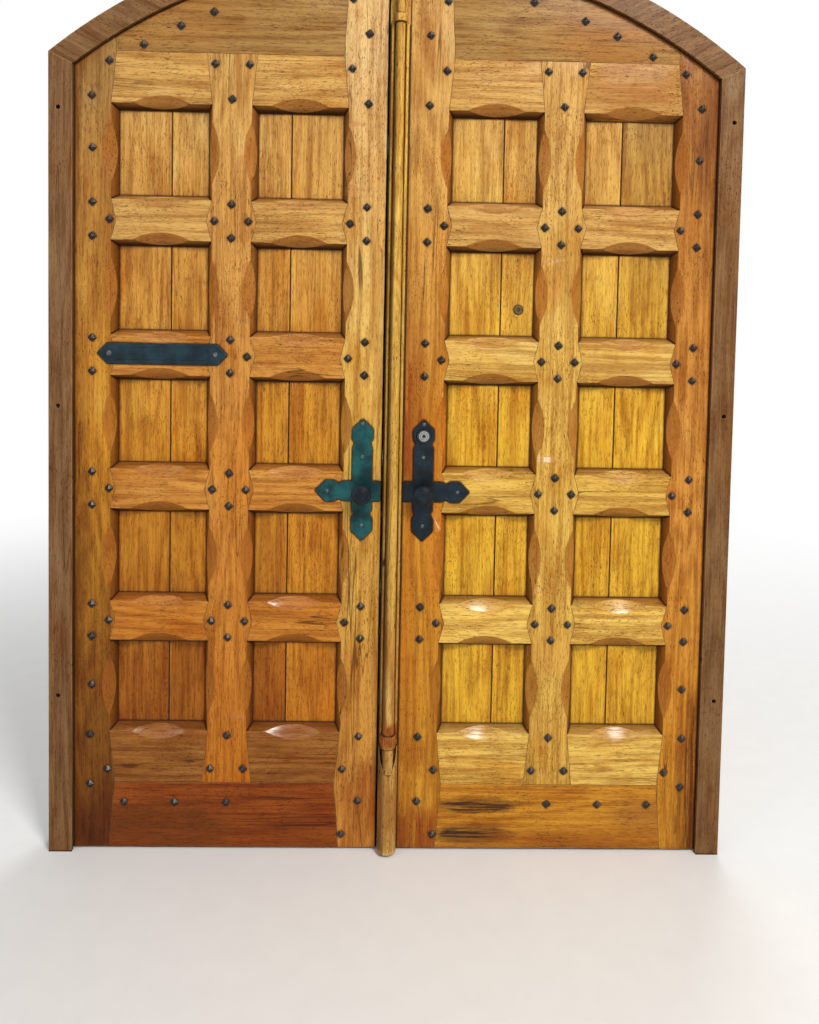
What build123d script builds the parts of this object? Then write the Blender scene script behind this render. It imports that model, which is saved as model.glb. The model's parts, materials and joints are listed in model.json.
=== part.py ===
from build123d import *
from math import atan2, degrees, hypot, sqrt
import os

os.makedirs("parts", exist_ok=True)

# An arched pair of oak leaves in a rebated oak frame. X runs along the wall, +Y goes indoors,
# Z is up. Y = 0 is the middle of the leaf's thickness, and Z = 0 is the floor. The right leaf
# lies at positive X. Each leaf is a lattice of scooped and chamfered members in front of boards.

# Opening and arch, as seen from the street
opening_width = 1700.0
spring_height = 2097.0
arch_rise = 293.6
floor_gap = 6.0

# Leaf
lattice_depth = 32.0
lap_depth = 16.0
board_depth = 28.0
meeting_gap = 5.0
leaf_overlap = 8.0
edge_gap = 3.0
face_gap = 1.0

# Frame
frame_face_width = 61.0
frame_depth = 73.0
lip_depth = 14.0
tongue_thickness = 14.0
tongue_length = 40.0
tongue_width = 30.0
peg_radius = 5.0
peg_clearance = 0.05
joint_clearance = 0.2
mitre_over = 3.0
fixing_radius = 6.0
fixing_heights = (430.0, 1210.0, 1990.0)

# Lattice, measured on the front arrises
column_width = 52.0
meeting_arris = 132.0
muntin_centre = 438.0
muntin_width = 104.0
outer_stile_width = 96.0
bottom_rail_height = 180.0
lower_rail_height = 142.0
panel_height = 250.5
rail_height = 107.0
upper_rail_height = 133.5
panel_rows = 5
lock_row = 1
ear_reach = 14.0
tenon_length = 80.0
tenon_shoulder = 12.0
muntin_tenon = 40.0
arch_tenon_height = 120.0

# Chamfer round each panel, and the scoop in the middle of each of its sides
bevel_inset = 13.5
scoop_face_reach = 20.5
scoop_bevel_reach = 10.1
scoop_depth = 24.0
scoop_length_level = 152.0
scoop_length_upright = 160.0
scoop_margin = 10.0
cut_over = 2.0

# Boards
board_joint_inner = 284.0
board_joint_outer = 602.0
board_gap = 0.4
tongue_reach = 7.0
board_tongue = 8.0
v_joint = 2.0

# Nails
nail_size = 16.5
nail_rim = 1.5
nail_peak = 6.3
nail_taper = 48.0
nail_pair_rise = 44.3
nail_edge = 7.0
nail_outer_edge = 2.6
meeting_nail_line = 80.5
outer_nail_line = 48.3
arch_nail_inset = 56.0
arch_nail_shares = (0.413, 0.573, 0.674, 0.787)
bottom_nail_height = 125.0
bottom_nail_shares = (-0.197, 0.333, 0.848)

# Nail heads off the rows: their line, a shift from it, the level they are set out from, and the rise
stray_nails = (
    ("meeting", 0, "panel", -11.0),
    ("meeting", 0, "lower", -49.0),
    ("meeting", 0, "upper", -123.0),
    ("meeting", 0, "upper", 59.0),
    ("meeting_edge", 0, "lower", 39.0),
    ("meeting_edge", 0, "foot", 38.0),
    ("meeting_edge", 0, "upper", -32.0),
    ("meeting_edge", 0, "upper", 148.0),
    ("muntin", 0, "upper", -119.0),
    ("muntin", 0, "panel", -11.0),
    ("muntin_left", 0, "upper", -28.0),
    ("muntin_left", 0, "lower", 38.5),
    ("muntin_right", 0, "upper", -28.0),
    ("muntin_right", 0, "lower", 38.5),
    ("outer", 0, "last_panel_middle", 7.0),
    ("outer", 0, "first_panel_middle", 2.0),
    ("outer", 2, "upper", -116.0),
    ("outer", 4, "panel", -10.0),
    ("outer", 4, "lower", -5.0),
    ("outer_edge", 4, "upper", -26.0),
    ("outer_edge", 5, "lower", 36.0),
)

# Strap hinges and pintles
hinge_heights = (251.0, 984.0, 1699.0)
hinge_side = 10.0
hinge_back = 12.5
pin_radius = 7.5
pin_clearance = 0.06
eye_radius = 12.0
eye_height = 45.0
strap_thickness = 6.0
strap_length = 560.0
strap_end_width = 22.0
strap_spear_length = 96.0
strap_spear_width = 36.0
eye_seat_gap = 0.3
pintle_plate_width = 25.0
pintle_plate_height = 96.0
pintle_plate_thickness = 6.0
pintle_plate_inset = 2.0
boss_height = 30.0
pin_over = 5.0
pintle_arm = 6.0
strap_bolt_radius = 7.0
strap_bolt_height = 4.0
strap_bolt_pitch = 130.0
strap_bolt_count = 4
strap_bolt_sides = 8
strap_bolt_taper = 25.0
strap_waist_width = 14.7
strap_waist_reach = 14.4
strap_spear_reach = 43.2

# Column planted on the right leaf
column_proud = 40.0
column_slab = 8.0
column_slab_top = 4.0
column_lip_gap = 2.0
shaft_radius_low = 15.5
shaft_radius_high = 12.5
shaft_radius_top = 10.5
shaft_web = 14.0
bead_radius = 5.2
bead_offset = 18.6
bead_proud = 17.0
lower_ring_height = 297.0
lower_ring_length = 34.0
lower_ring_radius = 19.0
upper_ring_height = 2218.0
upper_ring_length = 20.0
upper_ring_radius = 16.5
tongue_stop_width = 46.0
tongue_stop_drop = 70.0
tongue_stop_proud = 14.0
ring_round = 5.0
foot_round = 3.0

# Lock plate, knobs and cylinder
lock_line = 82.0
knob_height = 986.0
cylinder_height = 1137.0
plate_thickness = 5.0
plate_bevel = 1.2
plate_half_width = 28.0
plate_head_point = 27.0
plate_neck_depth = 7.0
plate_neck_reach = 15.0
plate_top_reach = 194.0
plate_top_neck = 130.0
plate_side_reach = 125.0
plate_side_neck = 63.0
plate_bottom_reach = 134.0
plate_screw_reach = 93.0
plate_rivet_reach = 182.0
plate_edge_gap = 1.5
knob_reach = 70.0
knob_length = 38.0
knob_radius = 27.0
knob_shoulder = (11.4, 24.3)
knob_belly = 23.6
knob_cheek = (34.2, 16.2)
neck_radius = 9.0
neck_seat = 4.0
running_clearance = 0.06
spindle_size = 8.0
spindle_clearance = 0.15
spindle_bore = 12.0
cylinder_radius = 15.0
cylinder_flange_radius = 20.5
cylinder_flange = 4.0
cylinder_taper = 25.0
cylinder_bore_gap = 0.2
plug_radius = 8.5
plug_proud = 1.5
keyway_width = 2.4
keyway_height = 9.0
tail_radius = 4.0
tail_reach = 12.0
screw_head_radius = 5.0
screw_head_height = 2.6
screw_head_taper = 30.0
small_screw_radius = 3.0
small_screw_height = 1.6

# Rim lock and its keep, on the inside
case_depth = 22.0
case_width = 158.0
case_edge_gap = 2.0
case_margin = 40.0
case_round = 4.0
case_screw_inset = 20.0
case_screw_drop = 10.0
latch_nose = 6.0
dead_nose = 2.0
bolt_thickness = 12.0
latch_height = 24.0
dead_height = 28.0
bolt_length = 55.0
dead_throw = 24.0
bolt_clearance = 0.3
keep_width = 46.0
keep_edge_gap = 2.0
keep_clearance = 1.5

# Letter plate on the left leaf
letter_x = 616.5
letter_height = 1345.0
letter_length = 343.0
letter_width = 55.0
letter_point = 26.0
letter_thickness = 4.0
letter_web = 1.0
letter_bolt_inset = 31.5
letter_bolt_radius = 7.5
letter_bolt_height = 4.0
flap_length = 232.0
flap_width = 33.0
flap_thickness = 4.0
flap_round = 1.8
flap_clearance = 0.3
slot_length = 210.0
slot_width = 24.0

# Bolt of the left leaf
top_bolt_line = 80.0
top_bolt_plate_width = 42.0
top_bolt_plate_length = 210.0
top_bolt_plate_thickness = 3.0
top_bolt_drop = 28.0
rod_radius = 8.0
rod_clearance = 0.3
rod_rest_gap = 6.0
rod_throw = 36.0
guide_wall = 5.0
guide_length = 18.0
rod_handle_radius = 6.0
rod_handle_length = 24.0
rod_spare = 8.0
rod_tip = 2.0
bolt_screw_offset = 15.0
keep_block_width = 46.0
keep_block_height = 34.0
keep_block_inset = 8.0

# Door viewer
viewer_x = 332.0
viewer_height = 1480.0
viewer_radius = 7.0
viewer_flange_radius = 13.0
viewer_flange = 3.0
viewer_gap = 0.2
lens_radius = 5.0
lens_dome = 1.5
viewer_taper = 30.0
lens_taper = 45.0

# Places worked out from the values above
half_opening = opening_width / 2
face_y = -(lattice_depth + board_depth) / 2
board_y = face_y + lattice_depth
back_y = board_y + board_depth
arch_radius = (half_opening**2 + arch_rise**2) / (2 * arch_rise)
arch_z = floor_gap + spring_height + arch_rise - arch_radius
leaf_radius = arch_radius + leaf_overlap
rebate_radius = leaf_radius + edge_gap
frame_radius = arch_radius + frame_face_width
leaf_edge = half_opening + leaf_overlap
rebate_x = leaf_edge + edge_gap
frame_x = half_opening + frame_face_width
lip_back_y = face_y - face_gap
frame_front_y = lip_back_y - lip_depth
frame_back_y = frame_front_y + frame_depth
crown_z = arch_z + arch_radius
spring_z = floor_gap + spring_height
lower_joint_z = floor_gap + bottom_rail_height
first_panel_z = lower_joint_z + lower_rail_height
row_pitch = panel_height + rail_height
last_panel_top_z = first_panel_z + (panel_rows - 1) * row_pitch + panel_height
upper_joint_z = last_panel_top_z + upper_rail_height
outer_arris = half_opening - outer_stile_width
muntin_left = muntin_centre - muntin_width / 2
muntin_right = muntin_centre + muntin_width / 2
bays = ((meeting_arris, muntin_left), (muntin_right, outer_arris))
right_edge = -column_width / 2
left_edge = column_width / 2 + meeting_gap
hinge_x = leaf_edge + hinge_side
hinge_y = back_y + hinge_back
knob_z = floor_gap + knob_height
cylinder_z = floor_gap + cylinder_height
plate_y = face_y - plate_thickness
case_y = back_y + case_depth
letter_z = floor_gap + letter_height


def front_plane(y):
    """Plane seen from the street at depth y: its own x is X and its own y is Z."""
    return Plane.XZ.offset(-y)


def axis_plane(x, y, z, outward):
    """Plane through a level axis along Y, for turned profiles: x is the reach, y the radius."""
    return Plane(origin=(x, y, z), x_dir=(0, outward, 0), z_dir=(1, 0, 0))


def save(name, piece):
    """Label a finished piece and write its file."""
    piece.label = name
    export_step(piece, f"parts/{name}.step")


def paired(left, right, half):
    """Outline with the points of its left half, then their mirror images."""
    return half + [(left + right - x, z) for x, z in reversed(half)]


def row_z(row):
    """Height of the lower arris of a panel row."""
    return first_panel_z + row * row_pitch


def middle_field(left, right, row):
    """Front of the rail above a panel row: notched ends, and mitres behind the arris."""
    low = row_z(row) + panel_height
    high = low + rail_height
    half = [
        (left + bevel_inset, high + bevel_inset),
        (left, high),
        (left + ear_reach, (low + high) / 2),
        (left, low),
        (left + bevel_inset, low - bevel_inset),
    ]
    return paired(left, right, half)


def end_field(left, right, arris, joint, inward):
    """Front of the lower or upper rail: mitres on one side, a straight joint on the other."""
    half = [
        (left + bevel_inset, arris + inward * bevel_inset),
        (left, arris),
        (left + ear_reach, joint),
    ]
    return paired(left, right, half)


def lower_field(left, right):
    return end_field(left, right, first_panel_z, lower_joint_z, 1)


def upper_field(left, right):
    return end_field(left, right, last_panel_top_z, upper_joint_z, -1)


def bottom_field():
    half = [(meeting_arris + ear_reach, lower_joint_z), (meeting_arris, floor_gap)]
    return paired(meeting_arris, outer_arris, half)


def arch_field():
    half = [(meeting_arris + ear_reach, upper_joint_z), (meeting_arris, crown_z + leaf_overlap)]
    return paired(meeting_arris, outer_arris, half)


def all_fields():
    """Outlines of every level member, bay by bay."""
    fields = [bottom_field(), arch_field()]
    for left, right in bays:
        fields.append(lower_field(left, right))
        fields.append(upper_field(left, right))
        fields.extend(middle_field(left, right, row) for row in range(panel_rows - 1))
    return fields


def level_lap(low, high):
    """Left, right, bottom and top of the lap that runs behind the uprights."""
    left = meeting_arris - tenon_length
    right = outer_arris + tenon_length
    return (left, right, low + tenon_shoulder, high - tenon_shoulder)


def middle_lap(row):
    low = row_z(row) + panel_height
    return level_lap(low, low + rail_height)


lower_lap = level_lap(lower_joint_z, first_panel_z)
upper_lap = level_lap(last_panel_top_z, upper_joint_z)
bottom_lap = level_lap(floor_gap, lower_joint_z)
arch_lap = (
    meeting_arris - tenon_length,
    muntin_left,
    upper_joint_z + tenon_shoulder,
    upper_joint_z + tenon_shoulder + arch_tenon_height,
)
level_laps = [lower_lap, upper_lap, bottom_lap, arch_lap] + [middle_lap(row) for row in range(panel_rows - 1)]
muntin_laps = [
    (muntin_left + tenon_shoulder, muntin_right - tenon_shoulder, low, high)
    for low, high in (
        (lower_joint_z - muntin_tenon, lower_joint_z + tenon_shoulder),
        (upper_joint_z - tenon_shoulder, upper_joint_z + muntin_tenon),
    )
]


def box_sketch(boxes):
    """Rectangles given by their left, right, bottom and top, in the sketch that is open."""
    for left, right, low, high in boxes:
        with Locations(((left + right) / 2, (low + high) / 2)):
            Rectangle(right - left, high - low)


# Cutter of one panel: a pyramid stump between the two arrises, and four lens-shaped scoops
def make_panel_cutter(left, right):
    width = right - left
    centre_x = (left + right) / 2
    centre_z = first_panel_z + panel_height / 2
    slope = bevel_inset / lattice_depth
    tilt = Vector(-(scoop_face_reach + scoop_bevel_reach), scoop_depth, 0).normalized()
    arris_gap = scoop_face_reach * tilt.Y
    sides = (
        (Vector(1, 0, 0), width / 2, scoop_length_upright),
        (Vector(-1, 0, 0), width / 2, scoop_length_upright),
        (Vector(0, 0, 1), panel_height / 2, scoop_length_level),
        (Vector(0, 0, -1), panel_height / 2, scoop_length_level),
    )
    with BuildPart() as cutter:
        with BuildSketch(front_plane(face_y - cut_over)):
            with Locations((centre_x, centre_z)):
                Rectangle(width + 2 * slope * cut_over, panel_height + 2 * slope * cut_over)
        with BuildSketch(front_plane(board_y + cut_over)):
            with Locations((centre_x, centre_z)):
                inset = bevel_inset + slope * cut_over
                Rectangle(width - 2 * inset, panel_height - 2 * inset)
        loft()
        for outward, reach, length in sides:
            radius = ((length / 2) ** 2 + arris_gap**2) / (2 * arris_gap)
            along = Vector(0, 1, 0).cross(outward)
            down_bevel = outward * tilt.X + Vector(0, 1, 0) * tilt.Y
            open_side = outward * -tilt.Y + Vector(0, 1, 0) * tilt.X
            middle = Vector(centre_x, face_y + scoop_depth / 2, centre_z)
            middle += outward * (reach + (scoop_face_reach - scoop_bevel_reach) / 2)
            half_cut = hypot(scoop_face_reach + scoop_bevel_reach, scoop_depth) / 2 + scoop_margin
            with BuildSketch(Plane(origin=middle + open_side * radius, x_dir=along, z_dir=down_bevel)):
                Circle(radius)
            extrude(amount=half_cut, both=True)
    return cutter.part


panel_cutters = [make_panel_cutter(left, right) for left, right in bays]


def cut_panels(cutters, rows):
    """Take the panels of some rows out of the lattice member that is being built."""
    with Locations(*[(0, 0, row * row_pitch) for row in rows]):
        for cutter in cutters:
            add(cutter, mode=Mode.SUBTRACT)


def make_upright(left, right, low, high, cutters, holes, tenons):
    """Stile or muntin: a strip less the rails' fronts, their laps and the panels."""
    with BuildPart() as upright:
        with BuildSketch(front_plane(face_y)):
            box_sketch([(left, right, low, high)])
            for outline in all_fields():
                Polygon(*outline, mode=Mode.SUBTRACT)
            for bay_left, bay_right in bays:
                middles = [((bay_left + bay_right) / 2, row_z(row) + panel_height / 2) for row in range(panel_rows)]
                with Locations(*middles):
                    Rectangle(
                        bay_right - bay_left - 2 * bevel_inset,
                        panel_height - 2 * bevel_inset,
                        mode=Mode.SUBTRACT,
                    )
            with Locations((0, arch_z)):
                Circle(leaf_radius, mode=Mode.INTERSECT)
        extrude(amount=-lattice_depth)
        with BuildSketch(front_plane(board_y)):
            box_sketch(level_laps)
        extrude(amount=lap_depth, mode=Mode.SUBTRACT)
        if tenons:
            with BuildSketch(front_plane(board_y)):
                box_sketch(tenons)
            extrude(amount=lap_depth)
        cut_panels(cutters, range(panel_rows))
        if holes:
            add(holes, mode=Mode.SUBTRACT)
    return upright.part


def make_rail(outlines, lap, rows, holes, sockets):
    """Level member: its fronts at full depth, and one lap that joins them behind the uprights."""
    with BuildPart() as rail:
        with BuildSketch(front_plane(face_y)):
            for outline in outlines:
                Polygon(*outline)
            with Locations((0, arch_z)):
                Circle(leaf_radius, mode=Mode.INTERSECT)
        extrude(amount=-lattice_depth)
        with BuildSketch(front_plane(board_y)):
            box_sketch([lap])
            with Locations((0, arch_z)):
                Circle(leaf_radius, mode=Mode.INTERSECT)
        extrude(amount=lap_depth)
        if sockets:
            with BuildSketch(front_plane(board_y)):
                box_sketch(sockets)
            extrude(amount=lap_depth, mode=Mode.SUBTRACT)
        if rows:
            cut_panels(panel_cutters, rows)
        if holes:
            add(holes, mode=Mode.SUBTRACT)
    return rail.part


def make_board(left, right, groove, tongue, holes, butts):
    """Upright board with a tongued, grooved and V-edged joint, cut to the arch and at its butt joints."""
    middle_y = (board_y + back_y) / 2
    gap_left = board_gap / 2 if groove else 0
    gap_right = board_gap / 2 if tongue else 0
    low_x = left + gap_left
    high_x = right - gap_right
    with BuildPart() as board:
        with BuildSketch(Plane.XY.offset(floor_gap)) as section:
            with Locations(((low_x + high_x) / 2, middle_y)):
                Rectangle(high_x - low_x, board_depth)
            if groove:
                chamfer(section.vertices().group_by(Axis.X)[0], v_joint)
                with Locations((low_x, middle_y)):
                    Rectangle(
                        2 * (tongue_reach + board_gap),
                        board_tongue + 2 * board_gap,
                        mode=Mode.SUBTRACT,
                    )
            if tongue:
                chamfer(section.vertices().group_by(Axis.X)[-1], v_joint)
                with Locations((high_x, middle_y)):
                    Rectangle(2 * tongue_reach, board_tongue)
        extrude(amount=crown_z + leaf_overlap - floor_gap)
        with BuildSketch(front_plane(back_y)):
            with Locations((0, arch_z)):
                Circle(leaf_radius)
        extrude(amount=board_depth, mode=Mode.INTERSECT)
        if holes:
            add(holes, mode=Mode.SUBTRACT)
        if butts:
            with BuildSketch(front_plane(back_y)):
                box_sketch([(left - tongue_reach, right + tongue_reach, low, low + board_gap) for low in butts])
            extrude(amount=board_depth, mode=Mode.SUBTRACT)
    return board.part


def make_bores(round_holes, slots):
    """Cutter for everything that goes right through a leaf."""
    with BuildPart() as bores:
        with BuildSketch(front_plane(back_y + cut_over)):
            for x, z, radius in round_holes:
                with Locations((x, z)):
                    Circle(radius)
            box_sketch(slots)
        extrude(amount=lattice_depth + board_depth + 2 * cut_over)
    return bores.part


def nail_places():
    """Nail heads that both leaves share: x from the centre line and height above the leaf's foot."""
    row_middles = [row_z(row) + panel_height + rail_height / 2 for row in range(panel_rows - 1)]
    lines = {
        "meeting": meeting_nail_line,
        "meeting_edge": meeting_arris - nail_edge,
        "muntin": muntin_centre,
        "muntin_left": muntin_left + nail_edge,
        "muntin_right": muntin_right - nail_edge,
        "outer": half_opening - outer_nail_line,
        "outer_edge": outer_arris,
    }
    levels = {
        "foot": floor_gap,
        "lower": lower_joint_z,
        "panel": first_panel_z,
        "upper": upper_joint_z,
        "first_panel_middle": row_middles[0] - row_pitch / 2,
        "last_panel_middle": row_middles[-1] + row_pitch / 2,
    }
    places = [(lines[line] + shift, levels[level] + rise - floor_gap) for line, shift, level, rise in stray_nails]
    for row, middle in enumerate(row_middles):
        height = middle - floor_gap
        for line in ("muntin", "outer") if row == lock_row else ("meeting", "muntin", "outer"):
            places += [(lines[line], height + nail_pair_rise), (lines[line], height - nail_pair_rise)]
        places.append((outer_arris + nail_outer_edge, height))
    for share in bottom_nail_shares:
        places.append((muntin_right + share * (outer_arris - muntin_right), bottom_nail_height))
    reach = arch_radius - arch_nail_inset
    for share in arch_nail_shares:
        x = share * half_opening
        places.append((x, arch_z - floor_gap + sqrt(reach**2 - x**2)))
    return places


def single_nails(row, sides):
    """Nail heads beside a crossing, on the row's middle line."""
    middle = row_z(row) + panel_height + rail_height / 2 - floor_gap
    return [(side, middle) for side in sides]


def make_nails(places, bolts):
    """All nail heads of one leaf, and the domed heads on its straps."""
    with BuildPart() as nails:
        with BuildSketch(front_plane(face_y)):
            with Locations(*[(x, floor_gap + height) for x, height in places]):
                Rectangle(nail_size, nail_size, rotation=45)
        extrude(amount=nail_rim)
        with BuildSketch(front_plane(face_y - nail_rim)):
            with Locations(*[(x, floor_gap + height) for x, height in places]):
                Rectangle(nail_size, nail_size, rotation=45)
        extrude(amount=nail_peak, taper=nail_taper)
        with BuildSketch(front_plane(back_y + strap_thickness)):
            with Locations(*bolts):
                RegularPolygon(strap_bolt_radius, strap_bolt_sides)
        extrude(amount=-strap_bolt_height, taper=strap_bolt_taper)
    return nails.part


def make_straps():
    """Three tapered straps with spear ends, each rolled into an eye over its pin."""
    with BuildPart() as straps:
        for height in hinge_heights:
            z = floor_gap + height
            neck_x = hinge_x - strap_length
            outline = [
                (hinge_x, z + eye_height / 2),
                (neck_x, z + strap_end_width / 2),
                (neck_x - strap_waist_reach, z + strap_waist_width / 2),
                (neck_x - strap_spear_reach, z + strap_spear_width / 2),
                (neck_x - strap_spear_length, z),
            ]
            outline += [(x, 2 * z - level) for x, level in reversed(outline[:-1])]
            with BuildSketch(front_plane(back_y)):
                Polygon(*outline)
            extrude(amount=-strap_thickness)
            with BuildSketch(Plane.XY.offset(z - eye_height / 2)):
                with Locations((hinge_x, hinge_y)):
                    Circle(eye_radius)
            extrude(amount=eye_height)
            with BuildSketch(Plane.XY.offset(z - eye_height / 2)):
                with Locations((hinge_x, hinge_y)):
                    Circle(pin_radius + pin_clearance)
            extrude(amount=eye_height, mode=Mode.SUBTRACT)
    return straps.part


def strap_bolts():
    """Places of the domed heads on the straps."""
    first = hinge_x - eye_radius - strap_bolt_pitch / 2
    return [
        (first - index * strap_bolt_pitch, floor_gap + height)
        for height in hinge_heights
        for index in range(strap_bolt_count)
    ]


def cross_outline(x, z, toward_edge):
    """Outline of the four-armed plate: three spear heads, and a short arm cut square."""
    wide = plate_half_width
    notch = wide - plate_neck_depth

    def arm(reach, neck):
        return [
            (wide, neck - plate_neck_reach / 2),
            (notch, neck),
            (wide, neck + plate_neck_reach),
            (wide, reach - plate_head_point),
            (0, reach),
        ]

    top = arm(plate_top_reach, plate_top_neck)
    side = arm(plate_side_reach, plate_side_neck)
    foot = arm(plate_bottom_reach, plate_side_neck)
    outline = [(-across, along) for across, along in top[:-1]]
    outline += list(reversed(top))
    outline += [(along, across) for across, along in side]
    outline += [(along, -across) for across, along in reversed(side[:-1])]
    outline += [(across, -along) for across, along in foot]
    outline += [(-across, -along) for across, along in reversed(foot[:-1])]
    outline += [(-wide, -wide), (-toward_edge, -wide), (-toward_edge, wide), (-wide, wide)]
    return [(x + across, z + along) for across, along in outline]


def make_cross_plate(toward_edge, bores):
    """Flat iron plate with a bevelled front edge."""
    with BuildPart() as plate:
        with BuildSketch(front_plane(face_y)):
            Polygon(*cross_outline(lock_line, knob_z, toward_edge))
        extrude(amount=plate_thickness)
        front = plate.faces().sort_by(Axis.Y)[0]
        chamfer(front.edges(), plate_bevel)
        with BuildSketch(front_plane(face_y)):
            for z, radius in bores:
                with Locations((lock_line, z)):
                    Circle(radius)
        extrude(amount=plate_thickness, mode=Mode.SUBTRACT)
    return plate.part


def make_heads(places, y, outward, radius, height):
    """Low domed screw heads on a face."""
    with BuildPart() as heads:
        with BuildSketch(front_plane(y)):
            with Locations(*places):
                Circle(radius)
        extrude(amount=-outward * height, taper=screw_head_taper)
    return heads.part


def knob_profile(neck):
    """Half section of a turned knob: a neck, then a flattened ball."""
    Line((0, 0), (0, neck_radius))
    Line((0, neck_radius), (neck, neck_radius))
    Spline(
        (neck, neck_radius),
        (neck + knob_shoulder[0], knob_shoulder[1]),
        (neck + knob_belly, knob_radius),
        (neck + knob_cheek[0], knob_cheek[1]),
        (neck + knob_length, 0),
        tangents=((0.25, 1), (0, -1)),
    )
    Line((neck + knob_length, 0), (0, 0))


# Frame: two jambs with a front lip, and two halves of the arched head
mitre_top = arch_z + sqrt(frame_radius**2 - frame_x**2)
mitre = Vector(frame_x - half_opening, mitre_top - spring_z, 0)
mitre_angle = degrees(atan2(mitre.Y, mitre.X))
mitre_middle = ((rebate_x + frame_x) / 2, (spring_z + mitre_top) / 2 + mitre.Y * edge_gap / mitre.X)
mitre_low = (half_opening - mitre_over * mitre.X, spring_z - mitre_over * mitre.Y)
mitre_high = (frame_x + mitre_over * mitre.X, mitre_top + mitre_over * mitre.Y)
tongue_y = (lip_back_y + frame_back_y) / 2
head_top = arch_z + frame_radius + frame_face_width


def tongue_sketch(clearance):
    """Loose end of the jamb that enters the head, square to the mitre."""
    with Locations(mitre_middle):
        Rectangle(
            tongue_width + 2 * clearance,
            2 * (tongue_length + clearance),
            rotation=mitre_angle,
        )


def fixing_sketch():
    """Holes for the frame's wall fixings."""
    with Locations(*[((rebate_x + frame_x) / 2, height) for height in fixing_heights]):
        Circle(fixing_radius)


def peg_places():
    """Pegs of the right half: one through the mitre's tongue and one through the crown's."""
    normal = Vector(-mitre.Y, mitre.X, 0).normalized()
    mitre_peg = (mitre_middle[0] + normal.X * tongue_length / 2, mitre_middle[1] + normal.Y * tongue_length / 2)
    crown_peg = (tongue_length / 2, arch_z + (rebate_radius + frame_radius) / 2)
    return [mitre_peg, crown_peg]


def make_jamb():
    with BuildPart() as jamb:
        with BuildSketch(Plane.XY):
            with Locations(((rebate_x + frame_x) / 2, (frame_front_y + frame_back_y) / 2)):
                Rectangle(frame_x - rebate_x, frame_depth)
            with Locations(((half_opening + rebate_x) / 2, (frame_front_y + lip_back_y) / 2)):
                Rectangle(rebate_x - half_opening, lip_depth)
        extrude(amount=mitre_high[1])
        with BuildSketch(front_plane(frame_back_y)):
            Polygon(mitre_low, mitre_high, (mitre_high[0], head_top), (mitre_low[0], head_top))
        extrude(amount=frame_depth, mode=Mode.SUBTRACT)
        with BuildSketch(front_plane(tongue_y + tongue_thickness / 2)):
            tongue_sketch(0)
            Polygon(mitre_low, mitre_high, (mitre_high[0], head_top), (mitre_low[0], head_top), mode=Mode.INTERSECT)
        extrude(amount=tongue_thickness)
        with BuildSketch(front_plane(frame_back_y)):
            fixing_sketch()
            with Locations(peg_places()[0]):
                Circle(peg_radius)
        extrude(amount=frame_depth, mode=Mode.SUBTRACT)
    return jamb.part


def make_head(with_tongue):
    """Half of the arched head. One half has the tongue at the crown, the other its slot."""
    crown_peg = peg_places()[1]
    crown_box = (
        -tongue_length,
        tongue_length,
        crown_peg[1] - tongue_width / 2,
        crown_peg[1] + tongue_width / 2,
    )
    with BuildPart() as head:
        for inner, front, back in (
            (arch_radius, frame_front_y, lip_back_y),
            (rebate_radius, lip_back_y, frame_back_y),
        ):
            with BuildSketch(front_plane(back)):
                with Locations((0, arch_z)):
                    Circle(frame_radius)
                    Circle(inner, mode=Mode.SUBTRACT)
                Polygon(
                    mitre_low,
                    mitre_high,
                    (mitre_high[0], head_top),
                    (0, head_top),
                    (0, mitre_low[1]),
                    mode=Mode.INTERSECT,
                )
            extrude(amount=back - front)
        with BuildSketch(front_plane(tongue_y + tongue_thickness / 2 + joint_clearance)):
            tongue_sketch(joint_clearance)
        extrude(amount=tongue_thickness + 2 * joint_clearance, mode=Mode.SUBTRACT)
        if with_tongue:
            with BuildSketch(front_plane(tongue_y + tongue_thickness / 2)):
                box_sketch([crown_box])
            extrude(amount=tongue_thickness)
        else:
            left, right, low, high = crown_box
            grown = (left, right + joint_clearance, low - joint_clearance, high + joint_clearance)
            with BuildSketch(front_plane(tongue_y + tongue_thickness / 2 + joint_clearance)):
                box_sketch([grown])
            extrude(amount=tongue_thickness + 2 * joint_clearance, mode=Mode.SUBTRACT)
        with BuildSketch(front_plane(frame_back_y)):
            for place in peg_places() + [(-crown_peg[0], crown_peg[1])]:
                with Locations(place):
                    Circle(peg_radius)
        extrude(amount=frame_back_y - lip_back_y, mode=Mode.SUBTRACT)
    return head.part


def mirrored(piece):
    """The same piece on the other side of the centre line."""
    return mirror(piece, about=Plane.YZ)


jamb = make_jamb()
save("jamb_right", jamb)
save("jamb_left", mirrored(jamb))
save("head_right", make_head(False))
save("head_left", mirrored(make_head(True)))

with BuildPart() as frame_pegs:
    with BuildSketch(front_plane(frame_back_y)):
        for place in peg_places():
            for side in (1, -1):
                with Locations((side * place[0], place[1])):
                    Circle(peg_radius - peg_clearance)
    extrude(amount=frame_back_y - lip_back_y)
save("frame_pegs", frame_pegs.part)

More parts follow.
